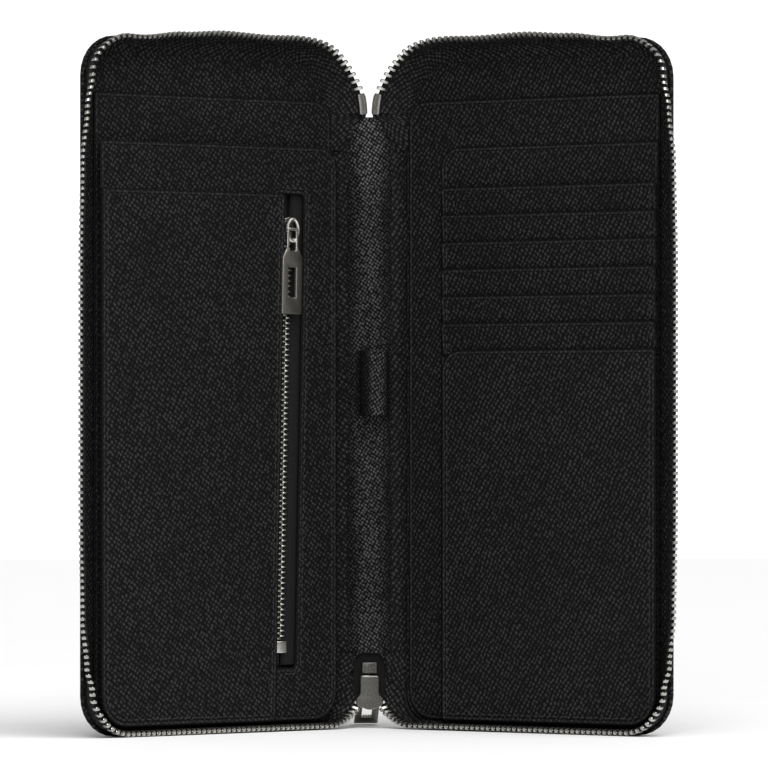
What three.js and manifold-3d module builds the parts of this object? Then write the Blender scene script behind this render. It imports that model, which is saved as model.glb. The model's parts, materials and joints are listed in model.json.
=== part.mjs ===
// Zip-round travel document organizer, standing open on its lower edge like a book.
//
// Millimetres, +Z up. Two stiff covers turn on vertical folds at the edges of a narrow spine. Each cover
// is modelled in its own frame: x runs out from its fold, -y is the inner face, z is up. The depth
// above the fold plane, towards the inside, is called v (v = -y). The left cover is the right
// cover's frame mirrored. Both covers are then turned in by OPEN_DEG, and the whole is centred.

import * as THREE from "three";
import { mergeVertices } from "three/addons/utils/BufferGeometryUtils.js";
import Module from "manifold-3d";

const wasm = await Module();
wasm.setup();

// ---- driving dimensions ----------------------------------------------------------------------

const HEIGHT = 240; // cover height
const COVER_WIDTH = 112; // fold axis to fore edge
const HALF_SPINE = 10.5; // fold axis to the plane where the two zip rows meet
const OPEN_DEG = 36; // each cover's turn in from flat
const COVER_HALF = 1.2; // half the thickness of a cover
const AIR = 0.3; // gap between touching pieces

const FOLD_GAP = 1.6; // fold axis to the cover's inner edge
const OUTER_R = 14; // fore-edge corners
const TOP_R = 24.7; // top corner next to the spine
const FOOT_R = 12; // bottom corner next to the spine

const SPINE_FOOT = 25; // outer spine leather, lower end
const SPINE_HEAD = 215; // outer spine leather, upper end
const SPINE_BOW = 1.5; // outward bow of the spine leather

const SHEET = 0.6; // one leather pocket layer
const POCKET_INSET = 3.4; // pocket layers stop this far inside the cover's edge
const POCKET_START = 6; // pocket layers start this far from the fold axis

const TAPE = 0.5; // zip tape thickness
const TAPE_ROOT = 1.5; // tape stands this far inside the cover's edge, and starts at this v
const TAPE_REACH = 9.9; // exposed width of tape and teeth
const END_REACH = 11.5; // the same at the top stops, where the tape is pulled towards the other one
const REACH_GROWS = [415, 440]; // it widens between these distances along the line
const TEETH = 2; // main zip, thickness of the teeth
const TAPE_SHARE = 0.7; // share of the reach that is bare tape

const CHAIN_Y = -3.5; // main zip's closed end, centre plane
const SLIDER_Z = 12.5; // main slider, middle

const PZ_TILT_DEG = 1.3; // the pocket zip leans in at the top
const PZ_X = 28.6; // pocket zip, middle of its window
const PZ_Z = 104.6;
const PZ_V = 4.9; // pocket zip, centre plane of its teeth
const PZ_SCALE = 0.72; // pocket slider against the main slider
const WINDOW_W = 12;
const PASSPORT_EDGE = 3; // passport pocket's edge, out from the middle of the window
const WINDOW_H = 165;

const CARD_START = 20; // card panel's inner edge
const SLOT_TOP = 190; // first card slot's edge
const SLOT_PITCH = 9.5;
const SLOT_COUNT = 6;

const PULL_LENGTH = 28; // main zip
const POCKET_PULL_LENGTH = 30;
const PULL_WIDTH = 8.5;
const PULL_HALF = 0.45;

const rad = THREE.MathUtils.degToRad;

// ---- materials -------------------------------------------------------------------------------

const finish = (color, roughness, metalness = 0) =>
  new THREE.MeshStandardMaterial({ color, roughness, metalness });

const LEATHER = finish(0x1c1c1c, 0.55);
const LINING = finish(0x202020, 0.6);
const BOARD = finish(0x6b5a45, 0.9);
const FABRIC = finish(0x111111, 0.95);
const TAPE_CLOTH = finish(0x0c0c0c, 0.95);
const GUNMETAL = finish(0x55524b, 0.35, 1);
const TEETH_METAL = finish(0x8c8a84, 0.3, 1);

// ---- solids ----------------------------------------------------------------------------------

function solidOf(geometry) {
  const bare = new THREE.BufferGeometry();
  bare.setAttribute("position", geometry.getAttribute("position").clone());
  if (geometry.index) bare.setIndex(geometry.index.clone());
  const merged = mergeVertices(bare, 1e-4);
  return new wasm.Manifold(
    new wasm.Mesh({
      numProp: 3,
      vertProperties: new Float32Array(merged.attributes.position.array),
      triVerts: new Uint32Array(merged.index.array),
    }),
  );
}

function geometryOf(solid) {
  const mesh = solid.getMesh();
  return new THREE.BufferGeometry()
    .setAttribute("position", new THREE.BufferAttribute(mesh.vertProperties, 3))
    .setIndex(new THREE.BufferAttribute(mesh.triVerts, 1));
}

const join = (...parts) =>
  geometryOf(parts.map(solidOf).reduce((sum, part) => sum.add(part)));

const cut = (body, ...tools) =>
  geometryOf(tools.map(solidOf).reduce((rest, tool) => rest.subtract(tool), solidOf(body)));

/** A solid through rings of points. All rings have the same count; `outline` is a ring in 2D. */
function loft(rings, outline) {
  const count = rings[0].length;
  const index = [];
  for (let r = 0; r + 1 < rings.length; r++) {
    for (let i = 0; i < count; i++) {
      const a = r * count + i;
      const b = r * count + ((i + 1) % count);
      index.push(a, b, b + count, a, b + count, a + count);
    }
  }
  const last = (rings.length - 1) * count;
  const clockwise = THREE.ShapeUtils.isClockWise(outline);
  for (const [a, p, q] of THREE.ShapeUtils.triangulateShape(outline, [])) {
    const [b, c] = clockwise ? [q, p] : [p, q];
    index.push(a, c, b, last + a, last + b, last + c);
  }
  const geometry = new THREE.BufferGeometry().setFromPoints(rings.flat());
  geometry.setIndex(index);
  return outward(geometry);
}

/** Turns every face round if the solid is inside out. */
function outward(geometry) {
  const p = geometry.attributes.position;
  const index = Array.from(geometry.index.array);
  const [a, b, c] = [new THREE.Vector3(), new THREE.Vector3(), new THREE.Vector3()];
  let volume = 0;
  for (let i = 0; i < index.length; i += 3) {
    a.fromBufferAttribute(p, index[i]);
    b.fromBufferAttribute(p, index[i + 1]);
    c.fromBufferAttribute(p, index[i + 2]);
    volume += a.dot(b.cross(c));
  }
  if (volume < 0) geometry.setIndex(index.reverse());
  return geometry;
}

/** A flat layer: a shape in x and z, from depth v0 to v1. */
function layer(shape, v0, v1, curveSegments = 8) {
  const flat = new THREE.ExtrudeGeometry(shape, {
    depth: v1 - v0,
    bevelEnabled: false,
    curveSegments,
  });
  return flat.rotateX(Math.PI / 2).translate(0, -v0, 0);
}

const box = (x0, x1, y0, y1, z0, z1) =>
  new THREE.BoxGeometry(x1 - x0, y1 - y0, z1 - z0).translate(
    (x0 + x1) / 2,
    (y0 + y1) / 2,
    (z0 + z1) / 2,
  );

/** A rectangle with its own radius at each corner. */
function panel(x0, x1, z0, z1, { footIn = 0, footOut = 0, topOut = 0, topIn = 0 } = {}) {
  const shape = new THREE.Shape();
  shape.moveTo(x0 + footIn, z0);
  shape.lineTo(x1 - footOut, z0);
  if (footOut) shape.absarc(x1 - footOut, z0 + footOut, footOut, -Math.PI / 2, 0);
  shape.lineTo(x1, z1 - topOut);
  if (topOut) shape.absarc(x1 - topOut, z1 - topOut, topOut, 0, Math.PI / 2);
  shape.lineTo(x0 + topIn, z1);
  if (topIn) shape.absarc(x0 + topIn, z1 - topIn, topIn, Math.PI / 2, Math.PI);
  shape.lineTo(x0, z0 + footIn);
  if (footIn) shape.absarc(x0 + footIn, z0 + footIn, footIn, Math.PI, 1.5 * Math.PI);
  return shape;
}

function piece(name, geometry, material) {
  const mesh = new THREE.Mesh(geometry, material);
  mesh.name = name;
  return mesh;
}

function group(...children) {
  const made = new THREE.Group();
  made.add(...children);
  return made;
}

// ---- zip wall round a cover --------------------------------------------------------------------

/** The line that the tape stands on: along the foot, up the fore edge, along the top, to the spine. */
function wallStations() {
  const inset = TAPE_ROOT;
  const right = COVER_WIDTH - inset;
  const top = HEIGHT - inset;
  const outer = OUTER_R - inset;
  const inner = TOP_R - inset;
  const left = FOLD_GAP + inset;
  const point = (x, z) => new THREE.Vector2(x, z);
  const arc = (x, z, r, from, to) => new THREE.EllipseCurve(x, z, r, r, from, to);
  const stopAngle = rad(164);
  const segments = [
    { curve: new THREE.LineCurve(point(10, inset), point(right - outer, inset)), steps: 5 },
    { curve: arc(right - outer, inset + outer, outer, -Math.PI / 2, 0), steps: 7 },
    {
      curve: new THREE.LineCurve(point(right, inset + outer), point(right, top - outer)),
      steps: 14,
    },
    { curve: arc(right - outer, top - outer, outer, 0, Math.PI / 2), steps: 7 },
    {
      curve: new THREE.LineCurve(point(right - outer, top), point(left + inner, top)),
      steps: 8,
    },
    { curve: arc(left + inner, top - inner, inner, Math.PI / 2, stopAngle), steps: 8 },
    { curve: arc(left + inner, top - inner, inner, stopAngle, Math.PI), steps: 2, stop: true },
  ];
  const stations = [];
  let run = 0;
  for (const { curve, steps, stop = false } of segments) {
    const length = curve.getLength();
    for (let i = stations.length ? 1 : 0; i <= steps; i++) {
      const at = curve.getPoint(i / steps);
      const along = curve.getTangent(i / steps);
      stations.push({ s: run + (length * i) / steps, at, out: point(along.y, -along.x), stop });
    }
    run += length;
  }
  return stations;
}

// Outward lean of the tape in degrees against the distance along the line. It stands square at the
// corners, where the tape is gathered, and splays along the free straights.
const LEANS = [
  [0, 0],
  [88, 2],
  [99, 7],
  [109, 22],
  [118, 36],
  [135, 46],
  [170, 50],
  [255, 50],
  [290, 46],
  [308, 35],
  [320, 22],
  [334, 8],
  [344, 5],
  [362, 18],
  [380, 25],
  [400, 21],
  [412, 23],
  [428, 37],
  [448, 48],
];

function leanAt(s) {
  const next = LEANS.findIndex(([at]) => at >= s);
  if (next <= 0) return rad(LEANS.at(next)[1]);
  const [s0, lean0] = LEANS[next - 1];
  const [s1, lean1] = LEANS[next];
  return rad(lean0 + (lean1 - lean0) * THREE.MathUtils.smoothstep(s, s0, s1));
}

/** Width of tape and teeth, kept short of the plane where the two rows meet. */
function reachAt(s, lean) {
  const room = HALF_SPINE - 0.2 - TAPE_ROOT - (TEETH / 2) * Math.sin(lean);
  const grown = THREE.MathUtils.smoothstep(s, ...REACH_GROWS);
  const reach = THREE.MathUtils.lerp(TAPE_REACH, END_REACH, grown);
  return Math.min(reach, room / Math.cos(lean));
}

/** A strip of the wall, between two shares of its reach. */
function wallStrip(stations, from, to, thickness) {
  const rings = stations.map(({ s, at, out }) => {
    const lean = leanAt(s);
    const reach = reachAt(s, lean);
    const corner = (share, side) => {
      const r = share * reach;
      const offset = r * Math.sin(lean) - side * Math.cos(lean);
      const v = TAPE_ROOT + r * Math.cos(lean) + side * Math.sin(lean);
      return new THREE.Vector3(at.x + out.x * offset, -v, at.y + out.y * offset);
    };
    const half = thickness / 2;
    return [corner(from, -half), corner(to, -half), corner(to, half), corner(from, half)];
  });
  const square = [
    new THREE.Vector2(0, 0),
    new THREE.Vector2(1, 0),
    new THREE.Vector2(1, 1),
    new THREE.Vector2(0, 1),
  ];
  return loft(rings, square);
}

function zipWall(side) {
  const stations = wallStations();
  const teeth = stations.filter(({ stop }) => !stop);
  const stop = stations.slice(teeth.length);
  const share = TAPE_SHARE + AIR / TAPE_REACH;
  return [
    piece(`${side}_zip_tape`, wallStrip(stations, 0, TAPE_SHARE, TAPE), TAPE_CLOTH),
    piece(`${side}_zip_teeth`, wallStrip(teeth, share, 1, TEETH), TEETH_METAL),
    piece(`${side}_zip_top_stop`, wallStrip(stop, share - 0.03, 1, TEETH), GUNMETAL),
  ];
}

// ---- a cover without its pockets ---------------------------------------------------------------

function coverOutline(inset) {
  return panel(FOLD_GAP + inset, COVER_WIDTH - inset, inset, HEIGHT - inset, {
    footIn: FOOT_R - inset,
    footOut: OUTER_R - inset,
    topOut: OUTER_R - inset,
    topIn: TOP_R - inset,
  });
}

const SKIN = 1; // outer leather, and the rim it turns round the board
const LINING_V = COVER_HALF; // the lining's underside

function coverShell(side) {
  const block = layer(coverOutline(0), -COVER_HALF, COVER_HALF - AIR);
  const recess = layer(coverOutline(SKIN), -COVER_HALF + SKIN, COVER_HALF + 1);
  const board = coverOutline(SKIN + AIR);
  const lining = coverOutline(2.6);
  return [
    piece(`${side}_cover_leather`, cut(block, recess), LEATHER),
    piece(`${side}_cover_board`, layer(board, SKIN - COVER_HALF + AIR, COVER_HALF - AIR), BOARD),
    piece(`${side}_cover_lining`, layer(lining, LINING_V, LINING_V + SHEET), LINING),
  ];
}

/** A slip pocket's front: open along its top edge, sewn down on the other three sides. */
function pocketOutline(x0, top) {
  return panel(x0, COVER_WIDTH - POCKET_INSET, POCKET_INSET, top, {
    footIn: x0 > CARD_START - 1 ? 1 : FOOT_R - 2,
    footOut: OUTER_R - POCKET_INSET,
    topIn: 7,
    topOut: 1,
  });
}

// Layers stack up from the lining, one sheet and one gap at a time.
const SLIP_V = LINING_V + SHEET + AIR;
const SLIP_1_TOP = 220.5;
const SLIP_2_TOP = 204;

// ---- zip sliders and pulls ---------------------------------------------------------------------

const PLATE = 0.8;
const CHANNEL = 1.3; // half the space between a slider's plates
const BRIDGE_TOP = 6;
const PIVOT_Y = 4.2;
const BAR_HALF = 0.45; // half the eye bar that turns inside the bridge

/** Slider, chain along z, mouth down, bridge on +y, middle of the chain at the origin. */
function slider() {
  const half = [
    [2.6, 6],
    [3.25, 5.4],
    [3.25, -0.4],
    [4.8, -2.4],
    [4.8, -3.9],
    [3.4, -5.2],
    [0, -6],
  ];
  const outline = new THREE.Shape();
  half.forEach(([x, z], i) => (i ? outline.lineTo(x, z) : outline.moveTo(x, z)));
  half
    .slice(0, -1)
    .reverse()
    .forEach(([x, z]) => outline.lineTo(-x, z));
  const inner = layer(outline, CHANNEL, CHANNEL + PLATE);
  const outer = layer(outline, -CHANNEL - PLATE, -CHANNEL);
  const lips = [-1, 1].flatMap((x) =>
    [-1, 1].map((y) => {
      const lip = new THREE.BoxGeometry(0.4, CHANNEL - 0.5, 5.6);
      return lip.translate(x * 3.05, y * (0.55 + (CHANNEL - 0.5) / 2), 2.5);
    }),
  );
  const post = new THREE.CylinderGeometry(0.6, 0.6, 2 * CHANNEL + 0.2, 4).translate(0, 0, -4.2);
  const bridge = cut(
    box(-1.2, 1.2, CHANNEL + 0.4, BRIDGE_TOP, -3.2, 3.2),
    box(-2, 2, CHANNEL + PLATE, BRIDGE_TOP - 0.8, -2.3, 2.3),
  );
  return join(inner, outer, ...lips, post, bridge);
}

/** Pull tab hanging down from its eye, turning about the x axis. */
function pull(length) {
  const eye = 2.4;
  const half = PULL_WIDTH / 2;
  const top = BAR_HALF;
  const foot = top - length;
  const neck = -6.5; // the eye's sides widen into shoulders here
  const shoulder = -10;
  const outline = new THREE.Shape();
  outline.moveTo(-eye, top);
  outline.lineTo(-eye, neck);
  outline.lineTo(-half, shoulder);
  outline.lineTo(-half, foot);
  outline.lineTo(half, foot);
  outline.lineTo(half, shoulder);
  outline.lineTo(eye, neck);
  outline.lineTo(eye, top);
  const hole = (x, z0, z1) => {
    const path = new THREE.Path();
    path.moveTo(-x, z0);
    path.lineTo(x, z0);
    path.lineTo(x, z1);
    path.lineTo(-x, z1);
    return path;
  };
  outline.holes.push(hole(1.5, neck - 1, -BAR_HALF), hole(1.75, foot + 5.7, foot + 16.2));
  return layer(outline, -PULL_HALF, PULL_HALF);
}

// ---- left cover: two slip pockets, a zipped pocket and a passport pocket -------------------------

const PZ_LINING_V = SLIP_V + SHEET + AIR;
const SLIP_2_V = 5.7;
const PASSPORT_V = SLIP_2_V + SHEET + AIR;
const PZ_FOOT = -77.4; // bottom stop's lower end, from the middle of the window
const PZ_SLIDER = 70.4; // slider's middle, from the middle of the window
const CHAIN_HALF = 2; // pocket zip, half the width of its closed teeth
const POST_ROOM = 0.55; // each row stops this far from the middle, so that the slider's post passes

/** Turns and places what follows the line of the pocket zip. */
function alongPocketZip(...pieces) {
  const made = group(...pieces);
  made.position.set(PZ_X, -PZ_V, PZ_Z);
  made.rotation.y = -rad(PZ_TILT_DEG);
  return made;
}

function windowTool() {
  return box(-WINDOW_W / 2, WINDOW_W / 2, -9, 9, -WINDOW_H / 2, WINDOW_H / 2)
    .rotateY(-rad(PZ_TILT_DEG))
    .translate(PZ_X, -PZ_V, PZ_Z);
}

/** Everything on the spine side of the passport pocket, for trimming it beside the zip. */
function spineSideTool() {
  return box(PASSPORT_EDGE - 60, PASSPORT_EDGE, -9, 9, -160, 160)
    .rotateY(-rad(PZ_TILT_DEG))
    .translate(PZ_X, -PZ_V, PZ_Z);
}

function pocketZip() {
  const tuck = WINDOW_H / 2 + 3; // the tapes end out of sight behind the leather
  const stopTop = PZ_FOOT + 4.2;
  const row = (x0, x1) => box(x0, x1, -0.7, 0.7, stopTop + AIR, PZ_SLIDER + 1.5);
  const tape = (x0, x1) => box(x0, x1, -0.2, 0.2, -tuck, tuck);
  return alongPocketZip(
    piece("pocket_zip_teeth_outer", row(POST_ROOM, CHAIN_HALF), TEETH_METAL),
    piece("pocket_zip_teeth_inner", row(-CHAIN_HALF, -POST_ROOM), TEETH_METAL),
    piece("pocket_zip_tape_outer", tape(2.75, 9), TAPE_CLOTH),
    piece("pocket_zip_tape_inner", tape(-9, -2.75), TAPE_CLOTH),
    piece("pocket_zip_bottom_stop", box(-2.4, 2.4, -1, 1, PZ_FOOT, stopTop), GUNMETAL),
  );
}

function pocketSlider() {
  const body = slider().scale(PZ_SCALE, PZ_SCALE, PZ_SCALE).rotateX(Math.PI);
  const tab = pull(POCKET_PULL_LENGTH).translate(0, -PIVOT_Y * PZ_SCALE, PZ_SLIDER);
  return alongPocketZip(
    piece("pocket_zip_slider", body.translate(0, 0, PZ_SLIDER), GUNMETAL),
    piece("pocket_zip_pull", tab, GUNMETAL),
  );
}

function leftPockets() {
  const slip1 = layer(pocketOutline(POCKET_START, SLIP_1_TOP), SLIP_V, SLIP_V + SHEET);
  const slip2 = layer(pocketOutline(POCKET_START, SLIP_2_TOP), SLIP_2_V, SLIP_2_V + SHEET);
  const passport = layer(
    pocketOutline(POCKET_START, SLOT_TOP - 2.5),
    PASSPORT_V,
    PASSPORT_V + SHEET,
  );
  const bag = panel(16, COVER_WIDTH - 8, 10, 196, { footOut: 4, topOut: 4, topIn: 4, footIn: 4 });
  return [
    piece("left_slip_pocket", slip1, LEATHER),
    piece("zip_pocket_lining", layer(bag, PZ_LINING_V, PZ_LINING_V + 0.25), FABRIC),
    piece("zip_pocket_front", cut(slip2, windowTool()), LEATHER),
    piece("passport_pocket", cut(passport, spineSideTool()), LEATHER),
  ];
}

// ---- right cover: slip pocket, card panel with card slots, lower pocket ---------------------------

const CARD_V = SLIP_V + SHEET + AIR;
const SLOT_FOOT_V = CARD_V + SHEET + AIR; // a card slot's tucked lower edge
const SLOT_LIFT = 1.05; // how far its open edge stands proud of that
const SLOT_TUCK = 2; // how far it runs down behind the next one
const LOWER_TOP = SLOT_TOP - SLOT_COUNT * SLOT_PITCH;

/** One card slot, a sheet that slopes forward to its open top edge like a roof shingle. */
function cardSlot(number) {
  const top = SLOT_TOP - (number - 1) * SLOT_PITCH;
  const foot = top - SLOT_PITCH - SLOT_TUCK;
  const sheet = 0.55;
  const ring = (x) =>
    [
      [foot, SLOT_FOOT_V],
      [top, SLOT_FOOT_V + SLOT_LIFT],
      [top, SLOT_FOOT_V + SLOT_LIFT + sheet],
      [foot, SLOT_FOOT_V + sheet],
    ].map(([z, v]) => new THREE.Vector3(x, -v, z));
  const outline = ring(0).map(({ y, z }) => new THREE.Vector2(z, y));
  const strip = loft([ring(CARD_START + 1), ring(COVER_WIDTH - POCKET_INSET)], outline);
  return piece(`card_slot_${number}`, strip, LEATHER);
}

function rightPockets() {
  const slip = layer(pocketOutline(POCKET_START, SLIP_1_TOP), SLIP_V, SLIP_V + SHEET);
  const card = layer(pocketOutline(CARD_START, SLIP_2_TOP), CARD_V, CARD_V + SHEET);
  const lowerV = SLOT_FOOT_V + SLOT_LIFT;
  const lower = layer(pocketOutline(CARD_START + 1.5, LOWER_TOP), lowerV, lowerV + SHEET);
  const tails = panel(CARD_START + 4, COVER_WIDTH - 6, 10, LOWER_TOP - SLOT_TUCK - 1, {
    footOut: 8,
    footIn: 2,
  });
  const slots = Array.from({ length: SLOT_COUNT }, (_, i) => cardSlot(i + 1));
  return [
    piece("right_slip_pocket", slip, LEATHER),
    piece("card_panel", card, LEATHER),
    ...slots,
    piece("card_slot_tails", layer(tails, SLOT_FOOT_V, SLOT_FOOT_V + 0.4), FABRIC),
    piece("lower_pocket", lower, LEATHER),
  ];
}

// ---- spine -------------------------------------------------------------------------------------

const LINING_HALF = 8.2;
const LINING_FOOT = 26.5;
const LINING_HEAD = 214.9;
const LOOP_X = 1.5; // pen loop, off centre towards the thinner card side
const LOOP_FOOT = 110;
const LOOP_HEAD = 133;
const LOOP_R = 5.1;
const LOOP_CLEAR = 4; // the lining lies flat this far above and below the pen loop
const LINING_FRONT = 2.6; // the flat lining's two faces, inwards from the fold plane
const LINING_BACK = 1.7;

/** A bowed sheet across the spine, between two depths in y. */
function bowedSheet(half, y0, y1, bow, z0, z1) {
  const steps = 8;
  const across = Array.from({ length: steps + 1 }, (_, i) => -half + (2 * half * i) / steps);
  const rise = (x) => bow * (1 - (x / half) ** 2);
  const shape = new THREE.Shape([
    ...across.map((x) => new THREE.Vector2(x, y0 + rise(x))),
    ...across.reverse().map((x) => new THREE.Vector2(x, y1 + rise(x))),
  ]);
  const sheet = new THREE.ExtrudeGeometry(shape, { depth: z1 - z0, bevelEnabled: false });
  return sheet.translate(0, 0, z0);
}

/** How far the spine's lining buckles inwards at height z: above and below the pen loop. */
function liningBulge(z) {
  const bulge = 3.8;
  const hump = (z0, z1) => (z > z0 && z < z1 ? Math.sin((Math.PI * (z - z0)) / (z1 - z0)) : 0);
  const low = hump(LINING_FOOT, LOOP_FOOT - LOOP_CLEAR);
  return bulge * (low + hump(LOOP_HEAD + LOOP_CLEAR, LINING_HEAD));
}

function spineLining() {
  const steps = 8;
  const across = Array.from(
    { length: steps + 1 },
    (_, i) => -LINING_HALF + (2 * LINING_HALF * i) / steps,
  );
  const ring = (z) => {
    const rise = (x) => liningBulge(z) * (1 - (x / LINING_HALF) ** 2);
    const face = across.map((x) => new THREE.Vector3(x, -LINING_FRONT - rise(x), z));
    const rear = across.map((x) => new THREE.Vector3(x, -LINING_BACK - rise(x), z)).reverse();
    return [...face, ...rear];
  };
  const half = (z0, z1) => Array.from({ length: 8 }, (_, i) => z0 + ((z1 - z0) * i) / 7);
  const levels = [
    ...half(LINING_FOOT, LOOP_FOOT - LOOP_CLEAR),
    ...half(LOOP_HEAD + LOOP_CLEAR, LINING_HEAD),
  ];
  const outline = ring(LINING_FOOT).map(({ x, y }) => new THREE.Vector2(x, y));
  return loft(levels.map(ring), outline);
}

/** A ring of leather strap on a flat foot that is sewn to the lining. */
function penLoop() {
  const ring = new THREE.Shape().absarc(0, 0, LOOP_R, 0, 2 * Math.PI);
  ring.holes.push(new THREE.Path().absarc(0, 0, LOOP_R - 0.8, 0, 2 * Math.PI));
  const height = LOOP_HEAD - LOOP_FOOT;
  const extrude = { depth: height, bevelEnabled: false, curveSegments: 10 };
  const tube = new THREE.ExtrudeGeometry(ring, extrude);
  const foot = LINING_FRONT + AIR;
  tube.translate(LOOP_X, -foot - LOOP_R, LOOP_FOOT);
  const base = box(LOOP_X - 6.6, LOOP_X + 6.6, -foot - 0.6, -foot, LOOP_FOOT, LOOP_HEAD);
  return join(tube, base);
}

function fold(name, x) {
  const rod = new THREE.CylinderGeometry(COVER_HALF, COVER_HALF, SPINE_HEAD - 15.5, 12);
  return piece(name, rod.rotateX(Math.PI / 2).translate(x, 0, (SPINE_HEAD + 14.5) / 2), LEATHER);
}

/** The closed end of the main zip, inside the parked slider, with the tails of its two tapes. */
function mainZipEnd() {
  const chainTop = SLIDER_Z + 6.5;
  const half = TEETH / 2;
  const row = (x0, x1) => box(x0, x1, CHAIN_Y - half, CHAIN_Y + half, SLIDER_Z - 2.2, chainTop);
  const tail = (x0, x1) =>
    box(x0, x1, CHAIN_Y - TAPE / 2, CHAIN_Y + TAPE / 2, SLIDER_Z - 4, SPINE_FOOT + 1.2);
  const stop = box(-3, 3, CHAIN_Y - 1.3, CHAIN_Y + 1.3, chainTop + AIR, chainTop + AIR + 4);
  return [
    piece("main_zip_end_teeth_left", row(-2.5, -0.15), TEETH_METAL),
    piece("main_zip_end_teeth_right", row(0.15, 2.5), TEETH_METAL),
    piece("main_zip_tail_left", tail(-8, -3.4), TAPE_CLOTH),
    piece("main_zip_tail_right", tail(3.4, 8), TAPE_CLOTH),
    piece("main_zip_bottom_stop", stop, GUNMETAL),
  ];
}

/** The parked slider, with its pull hanging behind the spine until its tip rests on the table. */
function mainSlider() {
  const pivotY = CHAIN_Y + PIVOT_Y;
  const drop = SLIDER_Z - PULL_HALF - 0.4;
  const swing = Math.acos(drop / (PULL_LENGTH - 0.6));
  const tab = pull(PULL_LENGTH).rotateX(swing).translate(0, pivotY, SLIDER_Z);
  return [
    piece("main_zip_slider", slider().translate(0, CHAIN_Y, SLIDER_Z), GUNMETAL),
    piece("main_zip_pull", tab, GUNMETAL),
  ];
}

function spine() {
  const leather = bowedSheet(8.9, 0.1, COVER_HALF, SPINE_BOW, SPINE_FOOT, SPINE_HEAD);
  const stiffener = bowedSheet(8, -1, -0.2, SPINE_BOW, SPINE_FOOT + 1, SPINE_HEAD - 1);
  return group(
    piece("spine_leather", leather, LEATHER),
    piece("spine_stiffener", stiffener, BOARD),
    piece("spine_lining", spineLining(), LINING),
    piece("pen_loop", penLoop(), LEATHER),
    fold("left_fold", -HALF_SPINE),
    fold("right_fold", HALF_SPINE),
    ...mainZipEnd(),
    ...mainSlider(),
  );
}

// ---- assembly ----------------------------------------------------------------------------------

const leftCover = group(
  ...coverShell("left"),
  ...zipWall("left"),
  ...leftPockets(),
  pocketZip(),
  pocketSlider(),
);
leftCover.position.x = -HALF_SPINE;
leftCover.rotation.z = rad(OPEN_DEG);
leftCover.scale.x = -1;

const rightCover = group(...coverShell("right"), ...zipWall("right"), ...rightPockets());
rightCover.position.x = HALF_SPINE;
rightCover.rotation.z = -rad(OPEN_DEG);

const organizer = group(spine(), leftCover, rightCover);
const bounds = new THREE.Box3().setFromObject(organizer, true);
organizer.position.y = -(bounds.min.y + bounds.max.y) / 2;

export default organizer;
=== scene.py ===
import json
import math

import bmesh
import bpy
import numpy as np
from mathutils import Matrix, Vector

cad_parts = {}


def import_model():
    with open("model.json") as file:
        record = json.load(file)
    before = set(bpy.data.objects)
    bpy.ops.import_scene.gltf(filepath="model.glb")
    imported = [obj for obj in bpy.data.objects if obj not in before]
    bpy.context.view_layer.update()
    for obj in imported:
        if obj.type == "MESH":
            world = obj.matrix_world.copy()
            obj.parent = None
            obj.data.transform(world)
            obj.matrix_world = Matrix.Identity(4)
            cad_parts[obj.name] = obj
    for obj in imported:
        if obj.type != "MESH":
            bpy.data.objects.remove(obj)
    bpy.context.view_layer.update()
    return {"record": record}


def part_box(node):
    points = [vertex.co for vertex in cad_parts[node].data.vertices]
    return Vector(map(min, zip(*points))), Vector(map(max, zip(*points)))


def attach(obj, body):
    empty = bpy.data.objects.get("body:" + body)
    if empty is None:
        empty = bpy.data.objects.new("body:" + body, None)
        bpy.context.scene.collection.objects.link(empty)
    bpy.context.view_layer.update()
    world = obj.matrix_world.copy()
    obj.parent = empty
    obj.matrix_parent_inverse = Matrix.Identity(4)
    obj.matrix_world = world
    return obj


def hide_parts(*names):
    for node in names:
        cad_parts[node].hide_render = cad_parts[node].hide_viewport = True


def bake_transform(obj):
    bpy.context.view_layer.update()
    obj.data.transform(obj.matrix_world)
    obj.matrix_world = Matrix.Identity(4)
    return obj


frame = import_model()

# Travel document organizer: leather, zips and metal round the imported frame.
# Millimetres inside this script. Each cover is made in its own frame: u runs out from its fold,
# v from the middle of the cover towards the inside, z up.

MM = 0.001

# ---- the frame, in millimetres ---------------------------------------------------------------

RECORD = frame["record"]
JOINTS = {joint["name"]: joint for joint in RECORD["behaviour"]["joints"]}
MOUNTS = {mount["name"]: mount for mount in RECORD["mounts"]}
HALF_SPINE, HINGE_Y, _ = np.array(JOINTS["right_cover_hinge"]["pos_m"]) / MM
OUTER_NORMAL = MOUNTS["right_cover_outer_face"]["axis"]
OPEN = math.atan2(OUTER_NORMAL[0], OUTER_NORMAL[1])
COS, SIN = math.cos(OPEN), math.sin(OPEN)


def box(name):
    """A CAD node's lowest and highest corners at rest."""
    low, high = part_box(name)
    return np.array(low) / MM, np.array(high) / MM


SIDES = {-1: "left", 1: "right"}
COVER_HALF = 1.2
LAYER = 0.8  # thickness of the pockets' leather
HEIGHT = box("right_cover_leather")[1][2]
COVER_WIDTH = (box("right_cover_leather")[1][0] - HALF_SPINE - COVER_HALF * SIN) / COS
FOLD_GAP, OUTER_R, TOP_R, FOOT_R = 1.6, 14, 24.7, 12
SPINE_FOOT, SPINE_HEAD = (box("spine_leather")[i][2] for i in (0, 1))
POCKET_INSET, POCKET_START, CARD_START = 3.4, 6, 20
SLIP_V, CARD_V, SLOT_V, LOWER_V = 2.1, 3.0, 3.9, 4.95  # depths that the pockets' layers start at
FRONT_V, PASSPORT_V = 5.6, 6.55
SLIP_1_TOP = box("left_slip_pocket")[1][2]
SLIP_2_TOP = box("zip_pocket_front")[1][2]
PASSPORT_TOP = box("passport_pocket")[1][2]
LOWER_TOP = box("lower_pocket")[1][2]


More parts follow.
